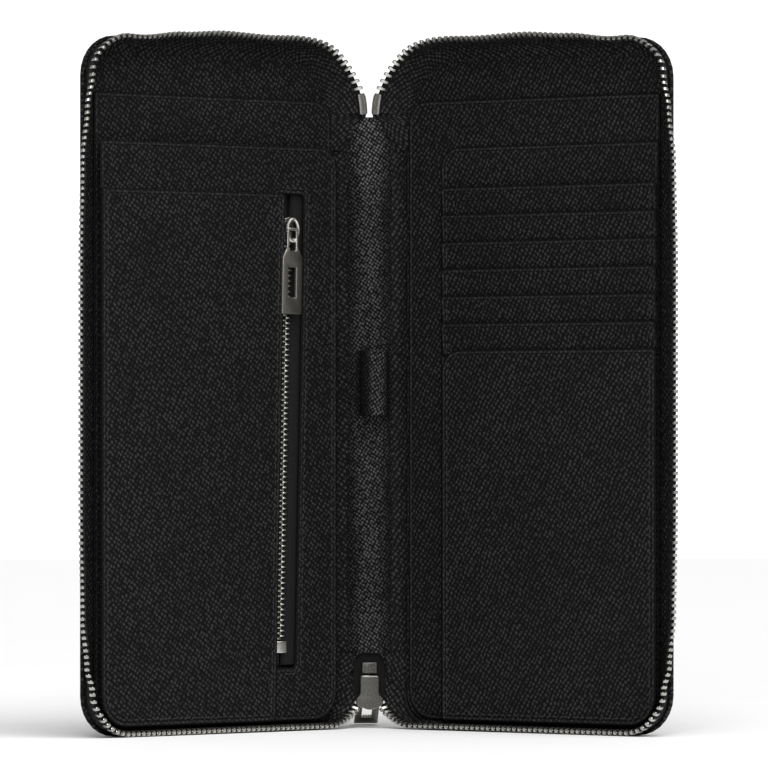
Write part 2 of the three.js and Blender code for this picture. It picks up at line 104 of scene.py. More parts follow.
def leaf(side):
    """Places points of a cover's own frame: side -1 is the left cover, 1 the right."""

    def place(points):
        u, v, z = np.asarray(points, float).T
        x = side * (HALF_SPINE + u * COS - v * SIN)
        return np.stack([x, HINGE_Y - u * SIN - v * COS, z], 1)

    return place


def spine(points):
    """Places points of the spine's frame: x, y from the fold plane, z up."""
    return np.asarray(points, float) + [0, HINGE_Y, 0]


# ---- mesh making -----------------------------------------------------------------------------


def unit(vectors):
    return vectors / np.linalg.norm(vectors, axis=-1, keepdims=True)


def ease(t):
    return t * t * (3 - 2 * t)


def bend(a, mid, b, t):
    """A curve from a to b drawn towards mid."""
    return a * (1 - t) ** 2 + 2 * mid * t * (1 - t) + b * t * t


def run_along(path):
    """Distance along a polyline at each of its points."""
    return np.concatenate([[0], np.cumsum(np.linalg.norm(np.diff(path, axis=0), axis=1))])


def sample(table, run, at):
    """A table's columns read at places along its run."""
    return np.stack([np.interp(at, run, table[:, k]) for k in range(table.shape[1])], -1)


def make(name, verts, faces, material, body, replaces=None, grain=None, tone_and_painted_light=None, sharp=38):
    """A mesh object in world millimetres, standing for the CAD node it replaces.

    grain is surface coordinates in mm, which patterns follow. The tone value after it runs from 0, dark, to
    1, bright, on metal, its bright values mostly painted highlights, and on leather from -0.8, a painted
    highlight on a ridge, through 0.7, painted shade in a crease, to 1, dark edge paint that also serves as a
    painted shadow line. A piece without a body is left without a parent.
    """
    mesh = bpy.data.meshes.new(name)
    mesh.from_pydata((np.asarray(verts) * MM).tolist(), [], faces)
    if grain is not None:
        layer = mesh.attributes.new("grain", "FLOAT_VECTOR", "POINT")
        layer.data.foreach_set("vector", np.asarray(grain, np.float32).ravel())
    if tone_and_painted_light is not None:
        layer = mesh.attributes.new("tone_and_painted_light", "FLOAT", "POINT")
        layer.data.foreach_set("value", np.asarray(tone_and_painted_light, np.float32))
    work = bmesh.new()
    work.from_mesh(mesh)
    bmesh.ops.recalc_face_normals(work, faces=work.faces)
    limit = math.radians(sharp)
    for face in work.faces:
        face.smooth = True
    for edge in work.edges:
        edge.smooth = edge.calc_face_angle(0) < limit
    work.to_mesh(mesh)
    work.free()
    mesh.materials.append(material)
    obj = bpy.data.objects.new(name, mesh)
    bpy.context.scene.collection.objects.link(obj)
    if body:
        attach(obj, body)
    if replaces:
        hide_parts(replaces)
    return obj


def bridge(rings, count, looped=False):
    """Faces of a loft through rings of count points. Looped, the last ring meets the first."""
    around = [(i, (i + 1) % count) for i in range(count)]
    last = (rings - 1) * count
    faces = [(a + i, a + j, a + count + j, a + count + i) for a in range(0, last, count) for i, j in around]
    if looped:
        return faces + [(last + i, last + j, j, i) for i, j in around]
    return faces + [tuple(range(count))[::-1], tuple(last + i for i in range(count))]


def sheet_faces(rows, width):
    """Faces of two layers of a grid of points and of the rim that joins them."""
    count = rows * width
    starts = [base + r * width + c for base in (0, count) for r in range(rows - 1) for c in range(width - 1)]
    faces = [(a, a + 1, a + width + 1, a + width) for a in starts]
    rim = list(range(width)) + [r * width + width - 1 for r in range(1, rows)]
    rim += [(rows - 1) * width + c for c in range(width - 2, -1, -1)]
    rim += [r * width for r in range(rows - 2, 0, -1)]
    return faces + [(a, b, count + b, count + a) for a, b in zip(rim, rim[1:] + rim[:1])]


class Heap:
    """Many small pieces gathered in one mesh."""

    def __init__(self):
        self.verts, self.faces, self.tone_and_painted_light, self.count = [], [], [], 0

    def add(self, verts, faces, tone_and_painted_light=None):
        self.verts.append(np.asarray(verts, float))
        self.faces += [tuple(self.count + i for i in face) for face in faces]
        self.tone_and_painted_light.append(np.broadcast_to(0.0 if tone_and_painted_light is None else tone_and_painted_light, len(verts)))
        self.count += len(verts)

    def make(self, name, material, body, slot, replaces=None, place=None):
        verts = np.concatenate(self.verts)
        placed = place(verts) if place else verts
        tone_and_painted_light = np.concatenate(self.tone_and_painted_light)
        return make(name, placed, self.faces, material, body, replaces, verts, tone_and_painted_light)


def slab(outer, thickness, bevel, holes=()):
    """A flat plate with rounded edges and holes: its outline in x and z, its middle at y 0."""
    curve = bpy.data.curves.new("slab", "CURVE")
    curve.dimensions = "2D"
    curve.fill_mode = "BOTH"
    curve.extrude = thickness / 2 - bevel
    curve.bevel_depth = bevel
    curve.bevel_resolution = 2
    curve.offset = -bevel
    for points in (outer, *holes):
        spline = curve.splines.new("POLY")
        spline.points.add(len(points) - 1)
        for point, (x, z) in zip(spline.points, points):
            point.co = (x, z, 0, 1)
        spline.use_cyclic_u = True
    obj = bpy.data.objects.new("slab", curve)
    bpy.context.scene.collection.objects.link(obj)
    mesh = bpy.data.meshes.new_from_object(obj.evaluated_get(bpy.context.evaluated_depsgraph_get()))
    work = bmesh.new()
    work.from_mesh(mesh)
    bmesh.ops.remove_doubles(work, verts=work.verts, dist=1e-5)
    verts = np.array([v.co for v in work.verts])[:, [0, 2, 1]]
    faces = [tuple(v.index for v in face.verts) for face in work.faces]
    work.free()
    bpy.data.objects.remove(obj)
    bpy.data.curves.remove(curve)
    bpy.data.meshes.remove(mesh)
    return verts, faces


def arc(cx, cy, r, start, end, steps):
    angles = np.radians(np.linspace(start, end, steps + 1))
    return [(cx + r * math.cos(a), cy + r * math.sin(a)) for a in angles]


# ---- outlines of covers and pockets ------------------------------------------------------------


class Panel:
    """A rectangle in u and z with its own corner radii, that can be inset with the same points."""

    def __init__(self, u0, u1, z0, z1, foot_in=1, foot_out=1, top_out=1, top_in=1, lean=0.0):
        self.rect = (u0, u1, z0, z1)
        self.radii = (foot_in, foot_out, top_out, top_in)
        self.lean = lean  # slope of the inner edge
        self.steps_u = max(2, round((u1 - u0) / 7))
        self.steps_z = max(2, round((z1 - z0) / 7))

    def ring(self, inset):
        u0, u1, z0, z1 = self.rect
        u0, u1, z0, z1 = u0 + inset, u1 - inset, z0 + inset, z1 - inset
        half = 0.45 * min(u1 - u0, z1 - z0)
        fi, fo, to, ti = (min(max(r - inset, 0.25), half) for r in self.radii)
        points = []
        sides = [  # a corner's middle, radius and start, the ends of the side after it, its steps
            ((u0 + fi, z0 + fi, fi, 180), (u0 + fi, z0), (u1 - fo, z0), self.steps_u),
            ((u1 - fo, z0 + fo, fo, 270), (u1, z0 + fo), (u1, z1 - to), self.steps_z),
            ((u1 - to, z1 - to, to, 0), (u1 - to, z1), (u0 + ti, z1), self.steps_u),
            ((u0 + ti, z1 - ti, ti, 90), (u0, z1 - ti), (u0, z0 + fi), self.steps_z),
        ]
        for (cu, cz, r, start), a, b, steps in sides:
            points += arc(cu, cz, r, start, start + 90, 7)
            for t in np.arange(1, steps) / steps:
                points.append((a[0] + (b[0] - a[0]) * t, a[1] + (b[1] - a[1]) * t))
        points = np.array(points)
        if self.lean:
            full0, full1, low, high = self.rect
            share = (full1 - points[:, 0]) / (full1 - full0)
            points[:, 0] += share * self.lean * (points[:, 1] - (low + high) / 2)
        return points

    def depth(self):
        u0, u1, z0, z1 = self.rect
        return min(u1 - u0, z1 - z0) / 2


def swell(points, panel, amount, seed):
    """A soft, slightly uneven rise over a panel, nothing at its edges."""
    u0, u1, z0, z1 = panel.rect
    a = np.clip((points[:, 0] - u0) / (u1 - u0), 0, 1)
    b = np.clip((points[:, 1] - z0) / (z1 - z0), 0, 1)
    crown = (4 * a * (1 - a)) ** 0.7 * (4 * b * (1 - b)) ** 0.5
    wave = np.sin(5.1 * a + 2.3 * b + seed) * np.cos(6.4 * b - 1.7 * a + 1.9 * seed)
    return amount * crown * (1 + 0.45 * wave)


# Inset from a layer's outline and share of its thickness, from its foot over the rolled edge.
EDGE = [(0.35, 0.0), (0.08, 0.06), (0.0, 0.3), (0.0, 0.55), (0.1, 0.82), (0.3, 0.96), (0.62, 1.0)]
CREASE = [(0.72, 1.0), (1.35, 1.0), (1.5, 0.84), (1.7, 0.84), (1.85, 1.0), (2.2, 1.0)]
EDGE_PAINT_AND_PAINTED_LIGHT = [1.0] * 7 + [-0.8, -0.8, 0.7, 0.7, -0.1, 0.0]  # dark edge paint that also serves as a painted shadow line, a painted highlight on the ridge, painted shade in the crease
INNER_RINGS = 8


def leaf_skin(name, side, rings, depths, looped, replaces, tone_and_painted_light=None):
    """Leather through rings of u and z, each at its depths, on a cover."""
    flat, v = np.concatenate(rings), np.concatenate(depths)
    points = np.stack([flat[:, 0], v, flat[:, 1]], 1)
    grain = np.stack([side * flat[:, 0], flat[:, 1], v], 1)
    faces = bridge(len(rings), len(rings[0]), looped)
    make(name, leaf(side)(points), faces, LEATHER, f"{SIDES[side]}_cover", replaces, grain, tone_and_painted_light)


def leather_panel(name, side, panel, v0, replaces, amount, seed, thickness=LAYER, lift=None):
    """A leather layer with rolled edges and a creased line along them. lift(u, z) bends it."""
    rings = [panel.ring(inset) for inset, _ in EDGE + CREASE]
    depths = [np.full(len(rings[0]), v0 + thickness * share) for _, share in EDGE + CREASE]
    for inset in np.linspace(3, panel.depth() - 0.6, INNER_RINGS):
        rings.append(panel.ring(inset))
        depths.append(v0 + thickness + swell(rings[-1], panel, amount, seed))
    if lift:
        depths = [v + lift(*ring.T) for ring, v in zip(rings, depths)]
    edge_paint_and_painted_light = np.repeat(EDGE_PAINT_AND_PAINTED_LIGHT + [0.0] * INNER_RINGS, len(rings[0]))
    leaf_skin(name, side, rings, depths, False, replaces, edge_paint_and_painted_light)


def framed_panel(name, side, panel, window, v0, replaces):
    """A leather layer with a window cut through it, its edges rolled outside and inside."""
    profile = EDGE + CREASE
    outer = [(panel.ring(inset), share) for inset, share in profile]
    hole = [(window.ring(-inset), share) for inset, share in profile[::-1]]
    a, b = outer[-1][0], hole[0][0]
    middle = [(a + (b - a) * t, 1.0) for t in np.linspace(0, 1, 9)[1:-1]]
    rings, shares = zip(*outer, *middle, *hole)
    depths = [np.full(len(a), v0 + LAYER * share) for share in shares]
    edge_paint_and_painted_light = np.repeat(EDGE_PAINT_AND_PAINTED_LIGHT + [0.0] * len(middle) + EDGE_PAINT_AND_PAINTED_LIGHT[::-1], len(a))
    leaf_skin(name, side, rings, depths, True, replaces, edge_paint_and_painted_light)


# ---- stitching ---------------------------------------------------------------------------------

STITCH_PITCH, STITCH_LENGTH, THREAD_R = 2.7, 2.0, 0.24


def along(path, pitch, start):
    """Points and directions every pitch along a polyline."""
    path = np.asarray(path, float)
    run = run_along(path)
    at = start + pitch * np.arange(int((run[-1] - start) // pitch) + 1)
    direction = sample(path, run, at + 0.2) - sample(path, run, at - 0.2)
    length = np.linalg.norm(direction, axis=1, keepdims=True)
    return sample(path, run, at), direction / np.maximum(length, 1e-9)


def stitch(heap, middle, direction, out):
    """One stitch: a short thread that dives into the leather at both ends."""
    direction = direction / np.linalg.norm(direction)
    side = np.cross(out, direction)
    half = [(1, 0.25, -0.3), (0.8, 0.75, -0.04), (0.3, 1, 0.1)]  # share of the length, girth, rise
    profile = [(-t, r, rise) for t, r, rise in half] + half[::-1]
    angles = np.radians(np.arange(6) * 60)
    verts = []
    for t, r, rise in profile:
        centre = middle + direction * t * STITCH_LENGTH / 2 + out * rise
        for a in angles:
            verts.append(centre + THREAD_R * r * (math.cos(a) * side + math.sin(a) * out))
    heap.add(verts, bridge(len(profile), 6))


def stitch_line(heap, path, v, start=1.2, out=1.0):
    """Stitches along a path in u and z, lying on depth v of a cover; out is the way they face."""
    for (u, z), (du, dz) in zip(*along(path, STITCH_PITCH, start)):
        stitch(heap, np.array([u, v, z]), np.array([du, 0, dz]), np.array([0, out, 0]))


# ---- materials ---------------------------------------------------------------------------------


class Shader:
    """A material's node tree, with short calls for the nodes that the materials here use."""

    def __init__(self, name):
        self.material = bpy.data.materials.new(name)
        self.material.use_nodes = True
        self.nodes = self.material.node_tree.nodes
        self.links = self.material.node_tree.links
        self.bsdf = self.nodes["Principled BSDF"]

    def node(self, kind, inputs=None, **settings):
        node = self.nodes.new(kind)
        for key, value in settings.items():
            setattr(node, key, value)
        for key, value in (inputs or {}).items():
            self.put(node.inputs[key], value)
        return node

    def put(self, socket, value):
        if isinstance(value, bpy.types.NodeSocket):
            self.links.new(value, socket)
        else:
            socket.default_value = value

    def set(self, **inputs):
        for key, value in inputs.items():
            self.put(self.bsdf.inputs[key.replace("_", " ")], value)

    def math(self, operation, a, b=0.0, clamp=False):
        node = self.node("ShaderNodeMath", operation=operation, use_clamp=clamp)
        self.put(node.inputs[0], a)
        self.put(node.inputs[1], b)
        return node.outputs[0]

    def remap(self, value, low, high, out_low=0.0, out_high=1.0):
        inputs = {"Value": value, "From Min": low, "From Max": high, "To Min": out_low, "To Max": out_high}
        return self.node("ShaderNodeMapRange", inputs).outputs["Result"]

    def mix(self, factor, a, b):
        node = self.node("ShaderNodeMix", data_type="RGBA")
        self.put(node.inputs["Factor"], factor)
        self.put(node.inputs["A"], a)
        self.put(node.inputs["B"], b)
        return node.outputs["Result"]

    def turned(self, vector, degrees, size):
        """Coordinates with x along a direction, counted in units of size."""
        inputs = {"Vector": vector, "Rotation": (0, 0, math.radians(degrees)), "Scale": size}
        return self.node("ShaderNodeMapping", inputs, vector_type="TEXTURE").outputs[0]

    def noise(self, vector, scale, detail=2.0, roughness=0.5):
        inputs = {"Vector": vector, "Scale": scale, "Detail": detail, "Roughness": roughness}
        return self.node("ShaderNodeTexNoise", inputs).outputs["Fac"]

    def cells(self, vector, randomness):
        inputs = {"Vector": vector, "Scale": 1.0, "Randomness": randomness}
        return self.node("ShaderNodeTexVoronoi", inputs).outputs["Distance"]

    def bump(self, height, distance, strength=1.0):
        inputs = {"Height": height, "Distance": distance, "Strength": strength}
        return self.node("ShaderNodeBump", inputs).outputs["Normal"]

    def grain(self):
        return self.node("ShaderNodeAttribute", attribute_name="grain").outputs["Vector"]

    def tone_and_painted_light(self):
        return self.node("ShaderNodeAttribute", attribute_name="tone_and_painted_light").outputs["Fac"]

    def plus(self, a, b, clamp=False):
        return self.math("ADD", a, b, clamp)

    def times(self, a, b, clamp=False):
        return self.math("MULTIPLY", a, b, clamp)

    def object_mm(self):
        """Object coordinates in millimetres."""
        node = self.node("ShaderNodeVectorMath", operation="SCALE")
        self.put(node.inputs[0], self.node("ShaderNodeTexCoord").outputs["Object"])
        node.inputs["Scale"].default_value = 1000.0
        return node.outputs[0]


def grey(level):
    return (level, level, level * 1.02, 1)


GRAIN_PITCH = 1.5  # between rows of strokes
GRAIN_AXIS, GRAIN_SPREAD = 102.5, 47.5  # the rows' two directions are this far either side of the axis
SWAY = 2.2  # how far the rows wander, in mm
# tones from the painted shade between the grain's strokes to the painted highlight on their tops
LEATHER_DARK, LEATHER_LIGHT = 0.0008, 0.0285


def lattice(s, where, pitch):
    """Surface coordinates counted in strokes, along the grain's two slanted directions."""
    spread = math.radians(GRAIN_SPREAD)
    size = (pitch / math.cos(spread) / math.sqrt(2), pitch / math.sin(spread) / math.sqrt(2), 1000)
    return s.turned(s.turned(where, GRAIN_AXIS, size), 45, (1, 1, 1))


def saffiano(name):
    """Cross-grained leather: rows of short raised strokes on a diagonal, with painted shade between them and
    a painted highlight on their tops.
    """
    s = Shader(name)
    where = s.grain()
    right = s.math("GREATER_THAN", s.node("ShaderNodeSeparateXYZ", {"Vector": where}).outputs["X"], 0.0)
    drift = s.noise(where, 0.12, 2)
    sway = s.node("ShaderNodeVectorMath", operation="ADD")
    s.put(sway.inputs[0], where)
    push = s.node("ShaderNodeCombineXYZ", {"X": s.times(drift, SWAY), "Y": s.times(drift, -SWAY)})
    s.put(sway.inputs[1], push.outputs[0])
    strokes = lattice(s, sway.outputs[0], GRAIN_PITCH)
    dots = s.remap(s.cells(strokes, 0.34), 0.14, 0.5, 1, 0)
    # The strokes run together a little along one of the two directions: another one on each cover.
    rows = s.node("ShaderNodeSeparateXYZ", {"Vector": strokes})
    across = s.math("SUBTRACT", rows.outputs["X"], rows.outputs["Y"])
    across = s.plus(rows.outputs["Y"], s.times(across, right))
    turn = s.times(s.math("SUBTRACT", across, 0.15), 2 * math.pi)
    wave = s.plus(s.times(s.math("COSINE", turn), 0.5), 0.5)
    share = s.plus(s.times(right, 0.12), 0.08)
    ridge = s.plus(dots, s.times(s.math("SUBTRACT", wave, dots), share))
    fine = s.noise(where, 2.6, 3, 0.6)
    height = s.plus(ridge, s.times(fine, 0.2))
    cloud = s.remap(s.noise(where, 0.045, 2), 0.3, 0.7, 0.75, 1.25)
    # painted highlight on the strokes' tops and painted shade between them, varied at random by cloud
    painted_light_tone = s.times(s.math("POWER", s.remap(height, 0.1, 1.05), 1.6), cloud)
    # edge tone: a painted highlight on the ridge beside the edge, and dark edge paint with a painted shadow
    # line and painted shade in the crease
    edge_paint_and_painted_light = s.tone_and_painted_light()
    painted_light_tone = s.plus(painted_light_tone, s.times(s.math("MAXIMUM", s.times(edge_paint_and_painted_light, -1), 0), 0.3))
    painted_light_tone = s.times(painted_light_tone, s.math("SUBTRACT", 1, s.math("MAXIMUM", edge_paint_and_painted_light, 0)), clamp=True)
    tone = s.mix(painted_light_tone, grey(LEATHER_DARK), grey(LEATHER_LIGHT))
    s.set(Base_Color=tone, Roughness=s.remap(height, 0.15, 1.05, 0.8, 0.4))
    s.set(Specular_IOR_Level=0.13, Normal=s.bump(height, 0.00022, 1.0))
    return s.material


def pebbled(name, highlight_half=3.0, highlight_fade_half=7.5):
    """Finer, glossier grain, with a painted highlight on its pebbles that is brightest along the middle of a
    soft piece and towards the lining's head.
    """
    s = Shader(name)
    where = s.grain()
    parts = s.node("ShaderNodeSeparateXYZ", {"Vector": where})
    across = s.math("ABSOLUTE", parts.outputs["X"])
    dot = s.remap(s.cells(lattice(s, where, 1.12), 0.35), 0.1, 0.56, 1, 0)
    fine = s.noise(where, 2.6, 3, 0.6)
    height = s.plus(dot, s.times(fine, 0.25))
    # painted highlight on the pebbles' tops
    painted_light_tone = s.math("POWER", s.remap(height, 0.1, 1.1), 1.5)
    # painted highlight along the middle, fading to painted shade towards the sides
    edge = s.remap(across, highlight_half, highlight_fade_half, 1.0, 0.2)
    # painted highlight stronger towards the head of the lining
    head = s.remap(parts.outputs["Y"], 184, 200, 0.62, 1.0)
    tone = s.mix(s.times(s.times(painted_light_tone, edge), head), grey(LEATHER_DARK), grey(0.13))
    s.set(Base_Color=tone, Roughness=s.remap(height, 0.2, 1.1, 0.8, 0.25))
    s.set(Specular_IOR_Level=0.1, Normal=s.bump(height, 0.00022, 1.0))
    return s.material


def woven(name):
    """Tight zip tape: fine slanting ribs that cross, with some fuzz."""
    s = Shader(name)
    where = s.grain()
    turns = (s.turned(where, degrees, (1, 1, 1)) for degrees in (45, -45))
    ribs = [s.node("ShaderNodeTexWave", {"Vector": turn, "Scale": 0.55, "Distortion": 0.6}) for turn in turns]
    height = s.math("MAXIMUM", *(wave.outputs["Fac"] for wave in ribs))
    height = s.plus(height, s.times(s.noise(where, 5, 3, 0.7), 0.5))
    tone = s.mix(s.remap(height, 0.3, 1.4), grey(0.002), grey(0.0068))
    s.set(Base_Color=tone, Roughness=0.92, Specular_IOR_Level=0.12)
    s.set(Sheen_Weight=0.05, Normal=s.bump(height, 0.00008, 0.8))
    return s.material


def cloth(name):
    """Plain weave for what lines the pockets, in object coordinates."""
    s = Shader(name)
    where = s.object_mm()
    weave = s.cells(s.turned(where, 0, (2, 2, 2)), 0.2)
    tone = s.mix(weave, grey(0.009), grey(0.0036))
    s.set(Base_Color=tone, Roughness=0.9, Specular_IOR_Level=0.15, Normal=s.bump(weave, 0.00006, 0.6))
    return s.material


def fibreboard(name):
    s = Shader(name)
    fleck = s.noise(s.object_mm(), 1.1, 4, 0.7)
    tone = s.mix(fleck, (0.004, 0.004, 0.004, 1), (0.016, 0.015, 0.013, 1))
    s.set(Base_Color=tone, Roughness=0.9, Normal=s.bump(fleck, 0.0001, 0.5))
    return s.material


def gunmetal(name, hatch=False):
    """Dark plated metal, painted bright where its tone value is high, mostly as painted highlights on rims
    and edges, with random scuffs; hatch engraves fine slanting lines.
    """
    s = Shader(name)
    where = s.grain()
    tone_and_painted_light = s.tone_and_painted_light()
    fine = s.noise(where, 2.2, 4, 0.65)
    highlight_and_scuff = s.plus(tone_and_painted_light, s.times(s.math("SUBTRACT", fine, 0.5), 0.35), clamp=True)
    tone = s.mix(highlight_and_scuff, (0.05, 0.048, 0.044, 1), (0.9, 0.88, 0.82, 1))
    height = s.times(fine, 0.12)
    if hatch:
        line = s.node("ShaderNodeTexWave", {"Vector": s.turned(where, 40, (1, 1, 1)), "Scale": 0.48})
        groove = s.remap(line.outputs["Fac"], 0.25, 0.75)
        height = s.plus(height, groove)
        tone = s.mix(s.times(groove, 0.6), tone, (0.3, 0.28, 0.24, 1))
    s.set(Base_Color=tone, Metallic=1.0, Roughness=s.remap(fine, 0.3, 0.7, 0.3, 0.42))
    s.set(Normal=s.bump(height, 0.00006, 0.6))
    return s.material


def teeth_metal(name):
    """Teeth with a painted highlight across their heads, their legs dark."""
    s = Shader(name)
    tone_and_painted_light = s.tone_and_painted_light()
    fine = s.noise(s.grain(), 1.7, 3, 0.6)
    highlight_and_scuff = s.times(tone_and_painted_light, s.remap(fine, 0.25, 0.7, 0.55, 1.1), clamp=True)
    tone = s.mix(highlight_and_scuff, (0.035, 0.034, 0.032, 1), (0.9, 0.88, 0.83, 1))
    s.set(Base_Color=tone, Metallic=1.0, Roughness=s.remap(fine, 0.3, 0.7, 0.22, 0.36))
    return s.material


def thread(name):
    s = Shader(name)
    turned = s.turned(s.grain(), 30, (1, 1, 1))
    twist = s.node("ShaderNodeTexWave", {"Vector": turned, "Scale": 1.2}).outputs["Fac"]
    s.set(Base_Color=s.mix(twist, grey(0.008), grey(0.022)), Roughness=0.6, Specular_IOR_Level=0.35)
    s.set(Normal=s.bump(twist, 0.00005, 0.6))
    return s.material


def paper_white(name):
    s = Shader(name)
    speck = s.noise(s.object_mm(), 0.02, 2)
    s.set(Base_Color=s.mix(speck, (0.9, 0.9, 0.9, 1), (0.93, 0.93, 0.93, 1)), Roughness=0.6)
    return s.material


LEATHER = saffiano("saffiano")
PEBBLED = pebbled("spine_lining_leather")
LOOP_LEATHER = pebbled("pen_loop_leather", 2.2, 3.6)
TAPE = woven("zip_tape_weave")
CLOTH = cloth("pocket_cloth")
BOARD = fibreboard("fibre_board")
GUNMETAL = gunmetal("gunmetal_plain")
HATCHED = gunmetal("gunmetal_hatched", hatch=True)
TEETH = teeth_metal("teeth_painted_highlight")
THREAD = thread("black_thread")

# ---- covers ------------------------------------------------------------------------------------


def cover_panel(inset=0):
    foot, outer, top = (r - inset for r in (FOOT_R, OUTER_R, TOP_R))
    return Panel(FOLD_GAP + inset, COVER_WIDTH - inset, inset, HEIGHT - inset, foot, outer, outer, top)


COVER_PROFILE = [  # inset, v: up the inner rim, round the edge, over the outer face
    (1.15, 0.35), (1.1, 0.8), (0.95, 0.95), (0.6, 0.98), (0.25, 0.85), (0.05, 0.5), (0.0, 0.1),
    (0.0, -0.5), (0.08, -0.85), (0.28, -1.08), (0.6, -1.18), (1.0, -1.2),
    (1.9, -1.2), (2.2, -1.1), (2.5, -1.1), (2.8, -1.2),
]


def cover(side):
    """A cover's outer skin, its lining and the stitching round its outer face."""
    name, panel = SIDES[side], cover_panel()
    rings = [panel.ring(inset) for inset, _ in COVER_PROFILE]
    depths = [np.full(len(rings[0]), v) for _, v in COVER_PROFILE]
    for inset in np.linspace(6, panel.depth() - 1, INNER_RINGS):
        rings.append(panel.ring(inset))
        depths.append(-COVER_HALF - swell(rings[-1], panel, 0.12, 3 + side))
    leaf_skin(f"{name}_cover_skin", side, rings, depths, False, f"{name}_cover_leather")
    lining = f"{name}_cover_lining"
    leather_panel(f"{name}_lining_leather", side, cover_panel(2.6), COVER_HALF, lining, 0.1, side, 0.6)
    heap = Heap()
    ring = panel.ring(2.35)
    stitch_line(heap, np.concatenate([ring, ring[:1]]), -1.12, 0.0, -1.0)
    heap.make(f"{name}_cover_stitching", THREAD, f"{name}_cover", "outer_leather", place=leaf(side))


# ---- zip round a cover -------------------------------------------------------------------------

ROOT = 1.5  # the tape stands this far inside the cover's edge, from this depth
REACH, END_REACH = 9.9, 11.5
REACH_GROWS = (415, 440)
TIP_GAP = 0.2  # the closed rows stay this far from the plane that they meet in
TOOTH_PITCH = 2.15
LEANS = [  # run from the row's foot, degrees that the tape leans outwards
    (0, 0), (88, 2), (99, 7), (109, 22), (118, 36), (135, 46), (170, 50), (255, 50), (290, 46), (308, 35),
    (320, 22), (334, 8), (344, 5), (362, 18), (380, 25), (400, 21), (412, 23), (428, 37), (448, 48),
]
ROW_START = 10  # u where the row's straight foot begins
STOP_ANGLE = 164


def wall_line():
    """Run, u, z and outward direction along the line that the tape stands on, every half millimetre."""
    right, top = COVER_WIDTH - ROOT, HEIGHT - ROOT
    outer, inner, left = OUTER_R - ROOT, TOP_R - ROOT, FOLD_GAP + ROOT
    pieces = [
        ("line", (ROW_START, ROOT), (right - outer, ROOT)),
        ("arc", (right - outer, ROOT + outer), outer, -90, 0),
        ("line", (right, ROOT + outer), (right, top - outer)),
        ("arc", (right - outer, top - outer), outer, 0, 90),
        ("line", (right - outer, top), (left + inner, top)),
        ("arc", (left + inner, top - inner), inner, 90, STOP_ANGLE),
        ("arc", (left + inner, top - inner), inner, STOP_ANGLE, 180),
    ]
    rows, run, marks = [], 0.0, []
    for kind, *data in pieces:
        if kind == "line":
            a, b = np.array(data[0]), np.array(data[1])
            length = np.linalg.norm(b - a)
            way = (b - a) / length
            t = np.linspace(0, 1, max(2, int(length * 2)))[:-1]
            at = a + (b - a) * t[:, None]
            out = np.tile([way[1], -way[0]], (len(t), 1))
        else:
            (cu, cz), r, start, end = data
            length = r * math.radians(end - start)
            t = np.linspace(0, 1, max(2, int(length * 2)))[:-1]
            angles = np.radians(start + (end - start) * t)
            out = np.stack([np.cos(angles), np.sin(angles)], 1)
            at = np.array([cu, cz]) + r * out
        rows.append(np.column_stack([run + length * t, at, out]))
        run += length
        marks.append(run)
    return np.concatenate(rows), marks


WALL, WALL_MARKS = wall_line()
STOP_START = WALL_MARKS[-2]


def lean_at(run):
    knots = np.array(LEANS, float)
    i = np.clip(np.searchsorted(knots[:, 0], run) - 1, 0, len(knots) - 2)
    t = ease(np.clip((run - knots[i, 0]) / (knots[i + 1, 0] - knots[i, 0]), 0, 1))
    return np.radians(knots[i, 1] + (knots[i + 1, 1] - knots[i, 1]) * t)


def wall_frames(run):
    """Root point, direction up the tape, direction through it and its reach, at each run."""
    run = np.asarray(run, float)
    u, z, ou, oz = sample(WALL[:, 1:], WALL[:, 0], run).T
    size = np.hypot(ou, oz)
    ou, oz = ou / size, oz / size
    lean = lean_at(run)
    room = HALF_SPINE - TIP_GAP - ROOT - np.sin(lean)
    grown = ease(np.clip((run - REACH_GROWS[0]) / (REACH_GROWS[1] - REACH_GROWS[0]), 0, 1))
    reach = np.minimum(REACH + (END_REACH - REACH) * grown, room / np.cos(lean))
    root = np.stack([u, np.full_like(u, ROOT), z], 1)
    up = np.stack([ou * np.sin(lean), np.cos(lean), oz * np.sin(lean)], 1)
    through = np.stack([-ou * np.cos(lean), np.sin(lean), -oz * np.cos(lean)], 1)
    return root, up, through, reach


TAPE_SECTION = [  # share of the reach, half thickness: a plain band with a bead for the teeth
    (0.1, 0.28), (0.4, 0.26), (0.66, 0.26), (0.72, 0.3), (0.76, 0.5), (0.8, 0.56), (0.84, 0.5), (0.87, 0.25),
]
WALL_HALF = 0.42
COVERED, COVERED_MORE = 0.5, 0.2  # share of the reach that leather covers, and what it gains at the ends


def middle_run(root, up, reach):
    """Distance along the middle of a tape that stands on root."""
    return run_along(root + up * reach[:, None] / 2)


def wall_leather(root, up, through, reach, inward, share):
    """The leather that turns up from the lining and covers the tape as far as a share of the reach."""
    rise = np.array([0, 1.0, 0])
    verts, grain = [], []
    frames = zip(root, up * reach[:, None], through, inward, share, middle_run(root, up, reach))
    for foot, tall, out, way, edge, run in frames:
        section = [foot + way * q + rise * v for q, v in ((4.4, 0.33), (2.8, 0.38), (1.7, 0.55), (1.1, 1.1))]
        section += [foot + tall * s + out * WALL_HALF for s in (0.24, edge * 0.7, edge - 0.02)]
        section += [foot + tall * (edge + 0.005) + out * h for h in (0.3, 0.05, -0.3)]
        section += [foot + tall * s - out * WALL_HALF for s in (edge - 0.02, edge * 0.6, 0.06)]
        section += [foot - way * 0.15 - rise * 0.9, foot + way * 2.5 - rise * 0.1]
        verts += section
        grain += [(across, run, 0) for across in run_along(section)]
    return np.array(verts), bridge(len(root), len(section)), np.array(grain)


def wall_inward(run):
    out = unit(sample(WALL[:, 3:], WALL[:, 0], run))
    return np.stack([-out[:, 0], np.zeros(len(out)), -out[:, 1]], 1)


